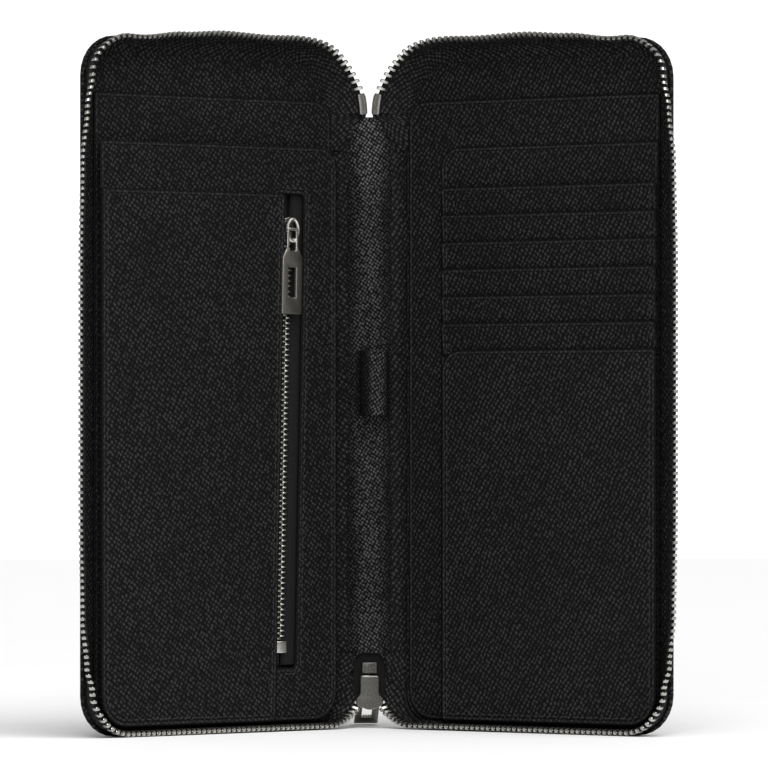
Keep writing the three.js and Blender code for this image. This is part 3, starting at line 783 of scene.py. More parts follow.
def tape_band(root, up, through, reach):
    """Vertices, faces and grain of a tape swept through frames."""
    section = TAPE_SECTION + [(share, -half) for share, half in TAPE_SECTION[::-1]]
    verts, grain = [], []
    for foot, tall, out, size, run in zip(root, up, through, reach, middle_run(root, up, reach)):
        verts += [foot + tall * share * size + out * half for share, half in section]
        grain += [(run, share * size, half) for share, half in section]
    return np.array(verts), bridge(len(root), len(section)), np.array(grain)


def tooth_shape():
    """One tooth: two legs that grip the tape's bead and a rounded head with a nib.

    Along x the tooth's width on the row, along y up the tape, along z through the tape.
    """
    outer = [(-3.3, 0.85), (-3.1, 1.0), (-2.0, 1.0), (-1.2, 0.98), (-0.5, 0.86), (-0.12, 0.55), (0.0, 0.0)]
    ring = outer + [(y, -z) for y, z in outer[-2::-1]]
    ring += [(-3.35, -0.55), (-2.0, -0.5), (-1.75, 0.0), (-2.0, 0.5), (-3.35, 0.55)]
    ring = np.array(ring)
    centre = np.array([-1.2, 0])
    verts, tone_and_painted_light = [], []
    levels = [(-0.54, 0.84), (-0.42, 0.98), (0.42, 0.98), (0.54, 0.84)]
    for x, scale in levels:
        for point in ring:
            y, z = centre + (point - centre) * scale
            verts.append((x, y, z))
            # painted highlight: a bright band across the head's inner face, the legs dark
            tone_and_painted_light.append(0.3 + 0.45 * math.exp(-((y + 0.9) ** 2) / 0.9) if y > -2.8 else 0.15)
    faces = bridge(len(levels), len(ring))
    base = len(verts)
    # painted highlight on the nib
    for y, z in ((-0.95, 0.25), (-0.5, 0.25), (-0.5, -0.25), (-0.95, -0.25)):
        verts.append((0.5, y, z))
        tone_and_painted_light.append(1)
    verts.append((0.78, -0.72, 0))
    tone_and_painted_light.append(1)
    faces += [(base, base + 1, base + 4), (base + 1, base + 2, base + 4), (base + 2, base + 3, base + 4)]
    faces += [(base + 3, base, base + 4), (base + 3, base + 2, base + 1, base)]
    return np.array(verts), faces, np.array(tone_and_painted_light)


TOOTH = tooth_shape()


def add_tooth(heap, tip, up, through, row):
    verts, faces, tone_and_painted_light = TOOTH
    heap.add(tip + verts[:, :1] * row + verts[:, 1:2] * up + verts[:, 2:] * through, faces, tone_and_painted_light)


def zip_wall(side):
    """Tape, leather wall, teeth and top stop along a cover's three open sides."""
    name, body, place = SIDES[side], f"{SIDES[side]}_cover", leaf(side)
    runs = np.arange(0, WALL_MARKS[-1] - 0.4, 1.6)
    verts, faces, grain = tape_band(*wall_frames(runs))
    make(f"{name}_tape", place(verts), faces, TAPE, body, f"{name}_zip_tape", grain)
    covered = COVERED + COVERED_MORE * np.clip((runs - STOP_START + 22) / 18, 0, 1)
    verts, faces, grain = wall_leather(*wall_frames(runs), wall_inward(runs), covered)
    make(f"{name}_wall_leather", place(verts), faces, LEATHER, body, None, grain)

    heap = Heap()
    runs = np.arange(1.0, STOP_START - 0.6, TOOTH_PITCH)
    root, up, through, reach = wall_frames(runs)
    tips = []
    for near in (runs + 0.4, runs - 0.4):
        near_root, near_up, _, near_reach = wall_frames(near)
        tips.append(near_root + near_up * near_reach[:, None])
    for frame_at in zip(root + up * reach[:, None], up, through, unit(tips[0] - tips[1])):
        add_tooth(heap, *frame_at)
    heap.make(f"{name}_teeth", TEETH, body, "zip_teeth", f"{name}_zip_teeth", place)

    root, up, through, reach = wall_frames(np.linspace(STOP_START + 0.3, WALL_MARKS[-1] - 0.2, 9))
    section = [(0.76, 0.6), (0.785, 0.95), (0.87, 0.85), (0.97, 0.95), (1.0, 0.6)]
    section = section + [(s, -h) for s, h in section[::-1]]
    middle = 0.88
    verts = []
    for i, size in enumerate([0.8, 0.97, 1, 1, 1, 1, 1, 0.97, 0.8]):
        for share, half in section:
            reached = reach[i] * (middle + (share - middle) * size)
            verts.append(root[i] + up[i] * reached + through[i] * half * size)
    heap = Heap()
    # painted highlights on the stop's outer corners and top edge, its faces dark
    heap.add(verts, bridge(9, len(section)), [0.6, 0.3, 0.05, 0.1, 0.7, 0.7, 0.1, 0.05, 0.3, 0.6] * 9)
    heap.make(f"{name}_top_stop", GUNMETAL, body, "gunmetal", f"{name}_zip_top_stop", place)


def bezier(points, t):
    t = np.asarray(t)[:, None]
    a, b, c, d = (np.asarray(p, float) for p in points)
    return a * (1 - t) ** 3 + 3 * b * t * (1 - t) ** 2 + 3 * c * t * t * (1 - t) + d * t**3


CHAIN_Y = -3.5  # depth of the closed chain at the spine's foot
SLIDER_Z = 12.5  # middle of the parked slider
CURVE_POINTS = 26


def foot_transition(side):
    """Tape and teeth that leave a cover's lower edge and rise into the parked slider."""
    name, place = SIDES[side], leaf(side)
    steps, rise = np.linspace(0, 1, CURVE_POINTS), np.linspace(0, 1, 9)[1:]
    head = np.array([side * 3.4, HINGE_Y + CHAIN_Y, 26.0])
    mouth = np.array([side * 2.3, HINGE_Y + CHAIN_Y - 0.2, 8.6])
    start = place([(ROW_START, HALF_SPINE - TIP_GAP, ROOT)])[0]
    inward = np.array([-side * COS, SIN, 0])
    tip = bezier([start, start + 4 * inward, mouth - [-side * 1.2, 0.3, 3.6], mouth], steps)
    tip = np.concatenate([tip, mouth + (head - mouth) * rise[:, None]])
    corner = [(ROW_START, ROOT), (6.2, 1.9), (FOLD_GAP + ROOT, 5.5), (FOLD_GAP + ROOT, 13)]
    root = bezier([(u, ROOT, z) for u, z in corner], steps)
    root = place(np.concatenate([root, [(FOLD_GAP + ROOT, ROOT, 13 + 14 * r) for r in rise]]))
    up = unit(tip - root)
    reach = np.linalg.norm(tip - root, axis=1)
    row = unit(np.gradient(tip, axis=0))
    through = unit(np.cross(row, up))
    through = through * -np.sign(through[:, 1:2])
    covered = COVERED + COVERED_MORE * np.clip((np.linspace(0, 1, len(tip)) - 0.35) / 0.35, 0, 1)
    lines = []
    for i in range(len(tip)):
        shares = np.linspace(-0.04, covered[i], 9)
        lines.append([root[i] + up[i] * reach[i] * share + through[i] * 0.45 for share in shares])
    strip_grid(f"{name}_foot_leather", lines, side, 5.5, 11.6, None, 0.7, 0)
    verts, faces, grain = tape_band(root, up, through, reach)
    band = make(f"{name}_foot_tape", verts, faces, TAPE, None, f"main_zip_tail_{name}", grain)
    blend_over_fold(band, side, 5.5, 11.6)

    curve = slice(CURVE_POINTS)
    run = run_along(tip[curve])
    heap = Heap()
    for at in np.arange(1.2, run[-1] - 0.2, TOOTH_PITCH):
        add_tooth(heap, *(sample(table[curve], run, at) for table in (tip, up, through, row)))
    blend_over_fold(heap.make(f"{name}_foot_teeth", TEETH, None, "zip_teeth"), side, 5.5, 11.6)


def blend_over_fold(obj, side, start_x, end_x):
    """Bakes a soft piece's placement into its mesh. start_x and end_x have no effect."""
    start, end = (tuple(spine([(side * x, 0, 0)])[0] * MM) for x in (start_x, end_x))
    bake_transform(obj)
    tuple(start)
    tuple(end)


def top_gusset(side):
    """Leather between the end of the zip wall, the fold and the head of the spine's lining."""
    place = leaf(side)
    lines = []
    for t in np.linspace(0, 1, 14):
        z = HEIGHT - TOP_R + 2.2 - 14 * t
        fold, root = place([(6.2, 2.0, z), (FOLD_GAP + ROOT, ROOT + 0.6, z)])
        open_up = np.clip((t - 0.12) / 0.16, 0, 1)
        reach = 0.9 + 3.4 * open_up**2 + 4.6 * t**1.6
        free = np.array([side * reach, HINGE_Y - 3.0 - 1.2 * open_up + 1.8 * t, z])
        lines.append(bend(free, root, fold, np.linspace(0, 1, 10)[:, None]))
    strip_grid(f"{SIDES[side]}_top_gusset", lines, side, 2.5, 12.0, None, 0.6, 0)


# ---- sliders and pulls -------------------------------------------------------------------------


def slider_outline():
    """Half of a slider's plate, from its narrow top down to the pointed lip: x, z."""
    half = [(0, 6.0), (2.5, 6.0)] + arc(2.55, 5.3, 0.7, 90, 0, 3) + [(3.25, 0.4)]
    half += [(3.45, -0.5), (3.95, -1.25), (4.6, -1.9), (4.8, -2.6), (4.78, -3.6), (4.4, -4.3)]
    half += [(3.4, -4.95), (2.1, -5.35), (1.0, -5.8), (0, -6.0)]
    return half + [(-x, z) for x, z in half[-2:0:-1]]


PLATE, CHANNEL, BRIDGE_TOP, PIVOT_Y = 0.8, 1.3, 6.0, 4.2
RING_Y, RING_SHIFT = 3.6, 0.7


def sweep(heap, path, across, half_width, half_depth, tone_and_painted_light):
    """A rounded strip swept along a path of points; across is its width direction."""
    path, across = np.asarray(path, float), np.array(across, float)
    corners = np.radians(np.arange(0, 360, 30) + 15)
    section = [[np.sign(c) * abs(c) ** 0.6 for c in (math.cos(a), math.sin(a))] for a in corners]
    verts = []
    for point, way in zip(path, unit(np.gradient(path, axis=0))):
        out = np.cross(across, way)
        verts += [point + across * c * half_width + out * s * half_depth for c, s in section]
    heap.add(verts, bridge(len(path), len(section)), tone_and_painted_light)


def ring_bridge(heap):
    """The pocket slider's bridge: an oval wire ring on two short posts."""
    angles = np.radians(np.linspace(0, 360, 33)[:-1])
    ring = np.stack([3.3 * np.sin(angles) - RING_SHIFT, np.full(32, RING_Y), 0.4 + 5.4 * np.cos(angles)], 1)
    rise = np.array([0, 1.0, 0])
    verts = []
    for point, way in zip(ring, unit(np.roll(ring, -1, 0) - np.roll(ring, 1, 0))):
        out = np.cross(way, rise)
        around = np.radians(np.arange(0, 360, 45))
        verts += [point + 0.78 * math.cos(a) * out + 0.7 * math.sin(a) * rise for a in around]
    heap.add(verts, bridge(32, 8, looped=True), 0.75)
    for z in (-4.4, 4.9):
        path = [(-RING_SHIFT, y, z) for y in np.linspace(CHANNEL + 0.4, RING_Y, 4)]
        sweep(heap, path, (1, 0, 0), 1.3, 0.7, 0.3)


def strap_bridge(heap):
    """The main slider's bridge: a flat strap bowed over the plate."""
    top = BRIDGE_TOP - 0.45
    half = [(CHANNEL + 0.5, 3.0), (top - 1.4, 2.95)]
    half += [(top - 1.2 + 1.2 * math.sin(a), 1.7 + 1.2 * math.cos(a)) for a in np.radians([15, 45, 75])]
    half += [(top, 0.8)]
    path = [(0, y, z) for y, z in half] + [(0, y, -z) for y, z in half[::-1]]
    sweep(heap, path, (1, 0, 0), 1.15, 0.42, 0.5)


def slider(place, name, body, replaces, add_bridge, scale=(1, 1, 1)):
    """Slider with its chain along z, mouth down, bridge on +y, its middle at the origin."""
    heap = Heap()
    for sign in (1, -1):
        verts, faces = slab(slider_outline(), PLATE, 0.36)
        # painted highlight: each plate's bevelled rim painted bright, its faces dark
        rim = np.abs(verts[:, 1]) < PLATE / 2 - 0.05
        heap.add(verts + [0, sign * (CHANNEL + PLATE / 2), 0], faces, np.where(rim, 1.0, 0.06))
    for x in (-1, 1):
        for y in (-1, 1):
            path = [(x * 3.02, y * 0.95, z) for z in np.linspace(-0.6, 5.2, 5)]
            sweep(heap, path, (1, 0, 0), 0.26, 0.42, 0.45)
    path = [(0, y, -3.6) for y in np.linspace(-CHANNEL - 0.2, CHANNEL + 0.2, 4)]
    sweep(heap, path, (1, 0, 0), 0.7, 1.0, 0.45)
    add_bridge(heap)
    heap.verts = [place(np.concatenate(heap.verts) * scale)]
    heap.make(name, GUNMETAL, body, "gunmetal", replaces)


PULL_LENGTH, POCKET_PULL_LENGTH, PULL_WIDTH, PULL_THICKNESS = 28, 30, 8.5, 1.15
BAR = 0.45  # half the thickness of a bridge, which a pull hangs on


def pull(place, name, body, replaces, length):
    """Pull tab hanging from its eye along -z, flat in x and z, engraved on both faces."""
    half, top, foot = PULL_WIDTH / 2, BAR, BAR - length
    left = [(-2.0, top), (-2.4, top - 0.4), (-2.4, -5.9), (-2.6, -6.8), (-3.5, -8.6), (-4.0, -9.4)]
    left += [(-half, -10.2), (-half, foot + 0.3), (-half + 0.3, foot)]
    outer = left + [(-x, z) for x, z in left[::-1]]
    eye = [(-1.5, -BAR), (1.5, -BAR), (1.5, -7.0), (1.2, -7.5), (-1.2, -7.5), (-1.5, -7.0)]
    slot = [(x, foot + z) for x, z in ((-1.75, 16.2), (1.75, 16.2), (1.75, 5.7), (-1.75, 5.7))]
    verts, faces = slab(outer, PULL_THICKNESS, 0.22, [eye, slot])
    rim = np.abs(verts[:, 1]) < PULL_THICKNESS / 2 - 0.04
    neck = verts[:, 2] > -7.6
    points = verts * np.where(neck, 0.85, 1)[:, None] ** [0, 1, 0]
    # painted highlight along the bevelled rim; the neck a little lighter than the blade
    tone_and_painted_light = np.where(rim, 0.9, np.where(neck, 0.35, 0.12))
    grain = verts[:, [0, 2, 1]]
    make(name, place(points), faces, HATCHED, body, replaces, grain, tone_and_painted_light, 30)


# ---- pocket zip --------------------------------------------------------------------------------

PZ_TILT = math.radians(1.3)
PZ_U, PZ_Z, PZ_V = 28.6, 104.6, 4.9  # the middle of its window
PZ_SCALE = 0.72  # size of its slider, next to the main one
WINDOW_W, WINDOW_H = 12, 165
PZ_FOOT, PZ_SLIDER, PZ_PITCH = -77.4, 70.4, 1.85


def pocket_zip_place(points):
    """Places points of the pocket zip's frame: x out, y away from the cover's inside, z up."""
    x, y, z = np.asarray(points, float).T
    u = PZ_U + x * math.cos(PZ_TILT) - z * math.sin(PZ_TILT)
    height = PZ_Z + x * math.sin(PZ_TILT) + z * math.cos(PZ_TILT)
    return leaf(-1)(np.stack([u, PZ_V - y, height], 1))


def pocket_tooth(heap, x_side, z):
    """A tooth of the closed pocket zip: a small bar with a rounded inner end, x_side -1 or 1."""
    stations = [(-0.3, 0.3, 0.26), (-0.12, 0.58, 0.4), (0.35, 0.8, 0.46), (1.2, 0.8, 0.46)]
    stations += [(2.0, 0.72, 0.44), (2.25, 0.5, 0.3)]
    verts = []
    for x, half_y, half_z in stations:
        for a in np.radians(np.arange(0, 360, 45) + 22.5):
            verts.append((x_side * x, half_y * 1.08 * math.sin(a), z + half_z * 1.08 * math.cos(a)))
    # painted highlight at each tooth's inner end, and the inner row painted darker than the outer row as
    # painted shade
    tone_and_painted_light = [0.9, 1.0, 0.95, 0.8, 0.6, 0.5] if x_side > 0 else [0.7, 0.75, 0.6, 0.4, 0.3, 0.3]
    heap.add(verts, bridge(len(stations), 8), np.repeat(tone_and_painted_light, 8))


def pocket_zip():
    """The closed chain of the pocket zip, its two tapes and its bottom stop."""
    body = "left_cover"
    for x_side, name in ((1, "outer"), (-1, "inner")):
        heap = Heap()
        shift = 0 if x_side > 0 else PZ_PITCH / 2
        for z in np.arange(PZ_FOOT + 5.0 + shift, PZ_SLIDER + 1, PZ_PITCH):
            pocket_tooth(heap, x_side, z)
        teeth = f"pocket_zip_teeth_{name}"
        heap.make(f"pocket_teeth_{name}", TEETH, body, "zip_teeth", teeth, pocket_zip_place)

        half = [(0.5, 0.2), (1.0, 0.45), (1.4, 0.5), (2.2, 0.45), (2.6, 0.22), (5.5, 0.2), (8.8, 0.2)]
        section = half + [(x, -h) for x, h in half[::-1]]
        verts = []
        levels = np.linspace(PZ_FOOT - 4, WINDOW_H / 2 + 3, 40)
        for z in levels:
            opened = 0.9 * max(0, (z - PZ_SLIDER) / (levels[-1] - PZ_SLIDER))
            for x, h in section:
                sag = 0.12 * math.sin(z / 9.0 + x_side) * max(0, x - 2.4) / 6
                verts.append((x_side * (x + opened), h + sag, z))
        grain = np.array(verts)[:, [2, 0, 1]]
        placed, faces = pocket_zip_place(verts), bridge(len(levels), len(section))
        tape = f"pocket_zip_tape_{name}"
        make(f"pocket_tape_{name}", placed, faces, TAPE, body, tape, grain)
    heap = Heap()
    verts, faces = slab([(-2.3, 0), (2.3, 0), (2.3, 4.1), (-2.3, 4.1)], 2.2, 0.35)
    heap.add(verts + [0, 0, PZ_FOOT], faces, 0.75)
    stop = "pocket_zip_bottom_stop"
    heap.make("pocket_bottom_stop", GUNMETAL, body, "gunmetal", stop, pocket_zip_place)


def at_pocket_slider(points):
    return pocket_zip_place(np.asarray(points, float) + [0, 0, PZ_SLIDER])


def at_pocket_pull(points):
    return pocket_zip_place(np.asarray(points, float) + [0, -PIVOT_Y * PZ_SCALE, PZ_SLIDER])


# ---- pockets -----------------------------------------------------------------------------------

PASSPORT_EDGE = 3  # the lower pocket starts this far outside the zip's middle
SEAM = 2.4  # from a pocket's edge to its stitching


def pocket_panel(start, top, foot_in, lean=0.0, top_in=7.5):
    end, outer = COVER_WIDTH - POCKET_INSET, OUTER_R - POCKET_INSET
    return Panel(start, end, POCKET_INSET, top, foot_in, outer, 1.2, top_in, lean)


def seam_path(panel, *sides):
    """The part of a panel's stitching line on the given sides, in order: foot, out, top, in."""
    ring = panel.ring(SEAM)
    starts = [4]  # from the middle of a corner's arc
    for steps in (panel.steps_u, panel.steps_z, panel.steps_u, panel.steps_z):
        starts.append(starts[-1] + 7 + steps)
    at = []
    for side_name in sides:
        k = ("foot", "out", "top", "in").index(side_name)
        at += range(starts[k], starts[k + 1])
    return ring[[i % len(ring) for i in at]]


def left_pockets():
    """Slip pocket, the pocket front with the zip's window, the lower pocket and their stitching."""
    slip = pocket_panel(POCKET_START, SLIP_1_TOP, FOOT_R - 2)
    front = pocket_panel(POCKET_START, SLIP_2_TOP, FOOT_R - 2)
    passport = pocket_panel(PZ_U + PASSPORT_EDGE, PASSPORT_TOP, 2, -math.tan(PZ_TILT), 1.5)
    u0, u1 = PZ_U - WINDOW_W / 2, PZ_U + WINDOW_W / 2
    window = Panel(u0, u1, PZ_Z - WINDOW_H / 2, PZ_Z + WINDOW_H / 2, 1.5, 1.5, 1.5, 1.5)
    window.steps_u, window.steps_z = front.steps_u, front.steps_z
    straight = window.ring

    def tilted(inset):
        du, dz = (straight(inset) - [PZ_U, PZ_Z]).T
        c, s = math.cos(PZ_TILT), math.sin(PZ_TILT)
        return np.stack([PZ_U + du * c - dz * s, PZ_Z + du * s + dz * c], 1)

    window.ring = tilted
    leather_panel("left_slip_front", -1, slip, SLIP_V, "left_slip_pocket", 0.3, 1.1)
    framed_panel("zip_pocket_leather", -1, front, window, FRONT_V, "zip_pocket_front")
    leather_panel("passport_pocket_leather", -1, passport, PASSPORT_V, "passport_pocket", 0.35, 2.7)
    heap = Heap()
    stitch_line(heap, seam_path(passport, "foot", "out"), PASSPORT_V + LAYER)
    stitch_line(heap, seam_path(passport, "in"), PASSPORT_V + LAYER)
    stitch_line(heap, seam_path(front, "in"), FRONT_V + LAYER)
    ring = window.ring(-2.2)
    inner_edge = ring[ring[:, 0] < PZ_U + 1]
    stitch_line(heap, inner_edge[np.argsort(inner_edge[:, 1])], FRONT_V + LAYER)
    heap.make("left_pocket_stitching", THREAD, "left_cover", "pocket_leather", place=leaf(-1))


def right_pockets():
    """Slip pocket, card panel with six slots, the lower pocket and their stitching."""
    slip = pocket_panel(POCKET_START, SLIP_1_TOP, FOOT_R - 2)
    card = pocket_panel(CARD_START, SLIP_2_TOP, 1.2)
    lower = pocket_panel(CARD_START + 1.5, LOWER_TOP, 1.2)
    leather_panel("right_slip_front", 1, slip, SLIP_V, "right_slip_pocket", 0.2, 0.4)
    leather_panel("card_panel_leather", 1, card, CARD_V, "card_panel", 0.1, 1.9)
    leather_panel("lower_pocket_leather", 1, lower, LOWER_V, "lower_pocket", 0.35, 0.9)
    heap = Heap()
    stitch_line(heap, seam_path(lower, "foot", "out"), LOWER_V + LAYER)
    stitch_line(heap, seam_path(lower, "in"), LOWER_V + LAYER)
    end = COVER_WIDTH - POCKET_INSET
    for number in range(1, 7):
        node = f"card_slot_{number}"
        bottom, top = (corner[2] for corner in box(node))
        slot = Panel(CARD_START + 1, end, bottom, top, 0.6, 0.6, 0.9, 1.6)

        def lift(u, z):
            mouth = np.exp(-((z - top) ** 2) / 6)
            slope = 1.05 / (top - bottom)
            return slope * (z - bottom) + 0.35 * mouth + 0.12 * mouth * np.sin(u / 13 + number)

        leather_panel(f"{node}_leather", 1, slot, SLOT_V, node, 0.0, number, 0.6, lift)
        for u in (end - SEAM, CARD_START + 1 + SEAM):
            stitch_line(heap, [(u, z) for z in np.linspace(top - 9, top - 0.6, 4)], 5.15, 0.8)
    stitch_line(heap, seam_path(card, "in")[2:16], CARD_V + LAYER)
    heap.make("right_pocket_stitching", THREAD, "right_cover", "pocket_leather", place=leaf(1))


# ---- spine -------------------------------------------------------------------------------------

LINING_HALF = 8.2
LINING_FOOT, LINING_HEAD = (box("spine_lining")[i][2] for i in (0, 1))
LOOP_FOOT, LOOP_HEAD = (box("pen_loop")[i][2] for i in (0, 1))
LOOP_X = (box("pen_loop")[0][0] + box("pen_loop")[1][0]) / 2


def lining_rise(z):
    """How far the lining buckles inwards at height z."""
    low = np.sin(math.pi * np.clip((z - LINING_FOOT) / (LOOP_FOOT - 4 - LINING_FOOT), 0, 1))
    high = np.sin(math.pi * np.clip((z - LOOP_HEAD - 4) / (LINING_HEAD - LOOP_HEAD - 4), 0, 1))
    ripple = 0.35 * np.sin(z / 7.5) + 0.25 * np.sin(z / 4.1 + 1)
    return (3.4 + ripple) * (low**0.8 + high**0.8)


def spine_lining():
    """The buckled lining between the folds, arched over the parked slider at its foot."""
    columns, levels = np.linspace(-1, 1, 25), np.linspace(0, 1, 121)
    verts, grain = [], []
    for back in (False, True):
        for level in levels:
            for c in columns:
                arch = 10.0 * np.clip((abs(c) - 0.45) / 0.35, 0, 1) ** 1.6
                z = LINING_FOOT - arch + (LINING_HEAD + 0.3 + 0.8 * c * c - LINING_FOOT + arch) * level
                foot = max(0, 1 - (z - LINING_FOOT + arch) / 14)
                y = -2.0 - lining_rise(z) * (1 - c * c) ** 1.7 - 0.5 * (1 - c * c) - 2.4 * foot * foot
                proud = 0.175 if 0 < level < 1 else 0.0  # its ends are thinned
                verts.append((LINING_HALF * c, y + 0.7 if back else y - proud, z))
                grain.append((LINING_HALF * c, z, y))
    faces = sheet_faces(len(levels), len(columns))
    name, node = "spine_lining_leather", "spine_lining"
    make(name, spine(verts), faces, PEBBLED, "spine", node, grain, sharp=60)


def sheet(name, lines, body, replaces, thickness, inward, start=0.0, way=1):
    """A leather sheet over rows of points, which run across it.

    Its back lies thickness along the surface's normal, turned by inward, or by 0 to face +y. The
    grain's first coordinate starts at start and runs towards way.
    """
    lines = np.asarray(lines, float)
    rows, width = lines.shape[:2]
    normals = unit(np.cross(np.gradient(lines, axis=1), np.gradient(lines, axis=0)))
    away = np.sign(normals[:, :, 1:2]) if inward == 0 else inward
    back = lines + normals * thickness * away
    verts = np.concatenate([lines.reshape(-1, 3), back.reshape(-1, 3)])
    run = way * (np.array([run_along(line) for line in lines]) + start)
    grain = np.stack([run, lines[:, :, 2], np.zeros_like(run)], 2).reshape(-1, 3)
    grain = np.concatenate([grain, grain])
    faces = sheet_faces(rows, width)
    return make(name, verts, faces, LEATHER, body, replaces, grain, sharp=60)


def strip_grid(name, lines, side, start_x, end_x, replaces, thickness, inward):
    """A soft sheet across a fold, its rows of points running between the spine and the cover."""
    obj = sheet(name, lines, None, replaces, thickness, inward, side * lines[0][0][0], side)
    blend_over_fold(obj, side, start_x, end_x)


def folds(side):
    """The leather that bends at a fold: one strip inside, one outside."""
    name, place = SIDES[side], leaf(side)
    t = np.linspace(0, 1, 9)[:, None]
    inner, outer = [], []
    for z in np.linspace(14.6, LINING_HEAD + 0.4, 60):
        b, mid = place([(6.4, 2.0, z), (1.2, 0.9, z)])
        ripple = 0.18 * math.sin(z / 6.0 + side) * np.sin(math.pi * t) * [0, 1, 0]
        inner.append(bend(spine([side * (LINING_HALF - 0.5), -2.3, z]), mid, b, t) + ripple)
    for z in np.linspace(SPINE_FOOT, SPINE_HEAD, 50):
        b, mid = place([(3.0, -1.05, z), (-0.4, -2.3, z)])
        outer.append(bend(spine([side * 8.2, 1.3, z]), mid, b, t))
    strip, fold = f"{name}_fold_inside", f"{name}_fold"
    strip_grid(strip, inner, side, 8.0, 12.6, fold, 0.5, -side)
    strip_grid(f"{name}_fold_outside", outer, side, 8.6, 12.6, None, 0.7, -side)


def spine_back():
    """The bowed outer leather of the spine, its long edges rolled and stitched."""
    bow, half, face, seam = 1.5, 8.9, 1.3, 0.83
    columns = [-1, -0.985, -0.95, -0.86, -0.84, -0.82, -0.8, -0.6, -0.4, -0.2, 0]
    columns += [-c for c in columns[-2::-1]]
    sink = {1: 0.45, 0.985: 0.15, 0.84: 0.12, 0.82: 0.12}
    rows = []
    for z in np.linspace(SPINE_FOOT, SPINE_HEAD, 70):
        end = 0.3 * max(0, 1 - min(z - SPINE_FOOT, SPINE_HEAD - z) / 0.8)
        row = [(c * half, face + bow * (1 - c * c) - sink.get(abs(c), 0) - end, z) for c in columns]
        rows.append(spine(row))
    sheet("spine_leather_skin", rows, "spine", "spine_leather", -1.0, 0, 20)
    heap = Heap()
    for x in (-seam, seam):
        for z in np.arange(SPINE_FOOT + 2, SPINE_HEAD - 1.5, STITCH_PITCH):
            at = spine((x * half, face - 0.05 + bow * (1 - seam**2), z))
            stitch(heap, at, np.array([0, 0, 1.0]), np.array([0, 1.0, 0]))
    heap.make("spine_stitching", THREAD, "spine", "outer_leather")


def pen_loop():
    """A strap bent round into a loop, its edges rolled, sewn down beside the spine's middle."""
    foot_y, angles = -2.9, np.radians(np.linspace(90 - 26, 90 - 334, 44))

    def strap(radius, flap):
        """The strap's outline on one face, from flap to flap."""
        centre = foot_y - 5.1
        turn = [(radius * 1.02 * math.cos(a), centre + radius * math.sin(a)) for a in angles]
        flap = [(x, foot_y + y) for x, y in flap]
        return np.array(flap + turn + [(-x, y) for x, y in flap[::-1]]) + [LOOP_X, 0]

    outer = strap(5.1, [(6.4, -0.15), (4.6, -0.45), (3.0, -0.9)])
    inner = strap(4.25, [(6.4, 0.35), (4.4, 0.3), (2.6, -0.2)])
    run = run_along(outer)
    run = run - run[-1] / 2 + 1.3  # 0 at the side that catches the light
    rolled = [(0.0, 0.5), (0.12, 0.12), (0.35, 0.0), (1.3, 0.0), (1.55, 0.12), (1.8, 0.0)]
    levels = [(LOOP_FOOT + d, sink) for d, sink in rolled]
    levels += [(LOOP_FOOT + (LOOP_HEAD - LOOP_FOOT) * t, 0.0) for t in (0.25, 0.4, 0.5, 0.6, 0.75)]
    levels += [(LOOP_HEAD - d, sink) for d, sink in rolled[::-1]]
    verts, grain = [], []
    for z, sink in levels:
        for near, far, depth, layer in ((outer, inner, sink, 0), (inner, outer, min(sink, 0.45), 1)):
            way = -1 if layer else 1
            verts += [(*point, z) for point in (near + (far - near) * depth)[::way]]
            grain += [(at, z, layer) for at in run[::way]]
    name, faces = "pen_loop_strap", bridge(len(levels), 2 * len(outer))
    make(name, spine(verts), faces, LOOP_LEATHER, "spine", "pen_loop", grain, sharp=50)


def main_zip_end():
    """The last closed teeth above the parked slider, the tape between them and the bottom stop."""
    across, depth, up = np.eye(3)
    for side, name in SIDES.items():
        heap = Heap()
        shift = 0 if side > 0 else TOOTH_PITCH / 2
        for z in np.arange(SLIDER_Z - 1.8 + shift, SLIDER_Z + 6.2, TOOTH_PITCH):
            add_tooth(heap, spine((-side * 0.45, CHAIN_Y, z)), -side * across, depth, up)
        heap.make(f"main_end_teeth_{name}", TEETH, "spine", "zip_teeth", f"main_zip_end_teeth_{name}")
    levels = np.linspace(SLIDER_Z - 4.5, LINING_FOOT + 1, 16)
    verts, grain = [], []
    for z in levels:
        # Above the slider it widens behind the tapes that come in from the covers.
        half = 3.7 + 1.8 * np.clip((z - SLIDER_Z - 0.2) / 5, 0, 1)
        behind = 0.75 * np.clip((z - SLIDER_Z + 1.5) / 1.5, 0, 1)
        section = [(-half, 0.25 + behind), (-half, -0.25 + behind), (-2.7, -0.28), (0, -0.3), (2.7, -0.28)]
        section += [(half, -0.25 + behind), (half, 0.25 + behind), (2.7, 0.28), (0, 0.3), (-2.7, 0.28)]
        verts += [(x, CHAIN_Y + y, z) for x, y in section]
        grain += [(z, x, y) for x, y in section]
    faces = bridge(len(levels), 10)
    make("main_closed_tape", spine(verts), faces, TAPE, "spine", None, grain)
    low, high = box("main_zip_bottom_stop")
    _, deep, height = high - low
    outline = [(-2.7, 0), (2.7, 0), (2.8, height * 0.4), (2.7, height), (-2.7, height), (-2.8, height * 0.4)]
    verts, faces = slab(outline, deep, 0.45)
    heap = Heap()
    heap.add(verts + [0, (low[1] + high[1]) / 2, low[2]], faces, 0.04)
    heap.make("main_bottom_stop", GUNMETAL, "spine", "gunmetal", "main_zip_bottom_stop")


def at_main_slider(points):
    return spine(np.asarray(points, float) + [0, CHAIN_Y, SLIDER_Z])


def at_main_pull(points):
    """The pull leans out until its foot is just above the floor."""
    drop = SLIDER_Z - BAR - 0.4
    swing = math.acos(drop / (PULL_LENGTH - BAR))
    x, y, z = np.asarray(points, float).T
    c, s = math.cos(swing), math.sin(swing)
    return spine(np.stack([x, y * c - z * s, y * s + z * c], 1) + [0, CHAIN_Y + PIVOT_Y, SLIDER_Z])


# ---- everything --------------------------------------------------------------------------------

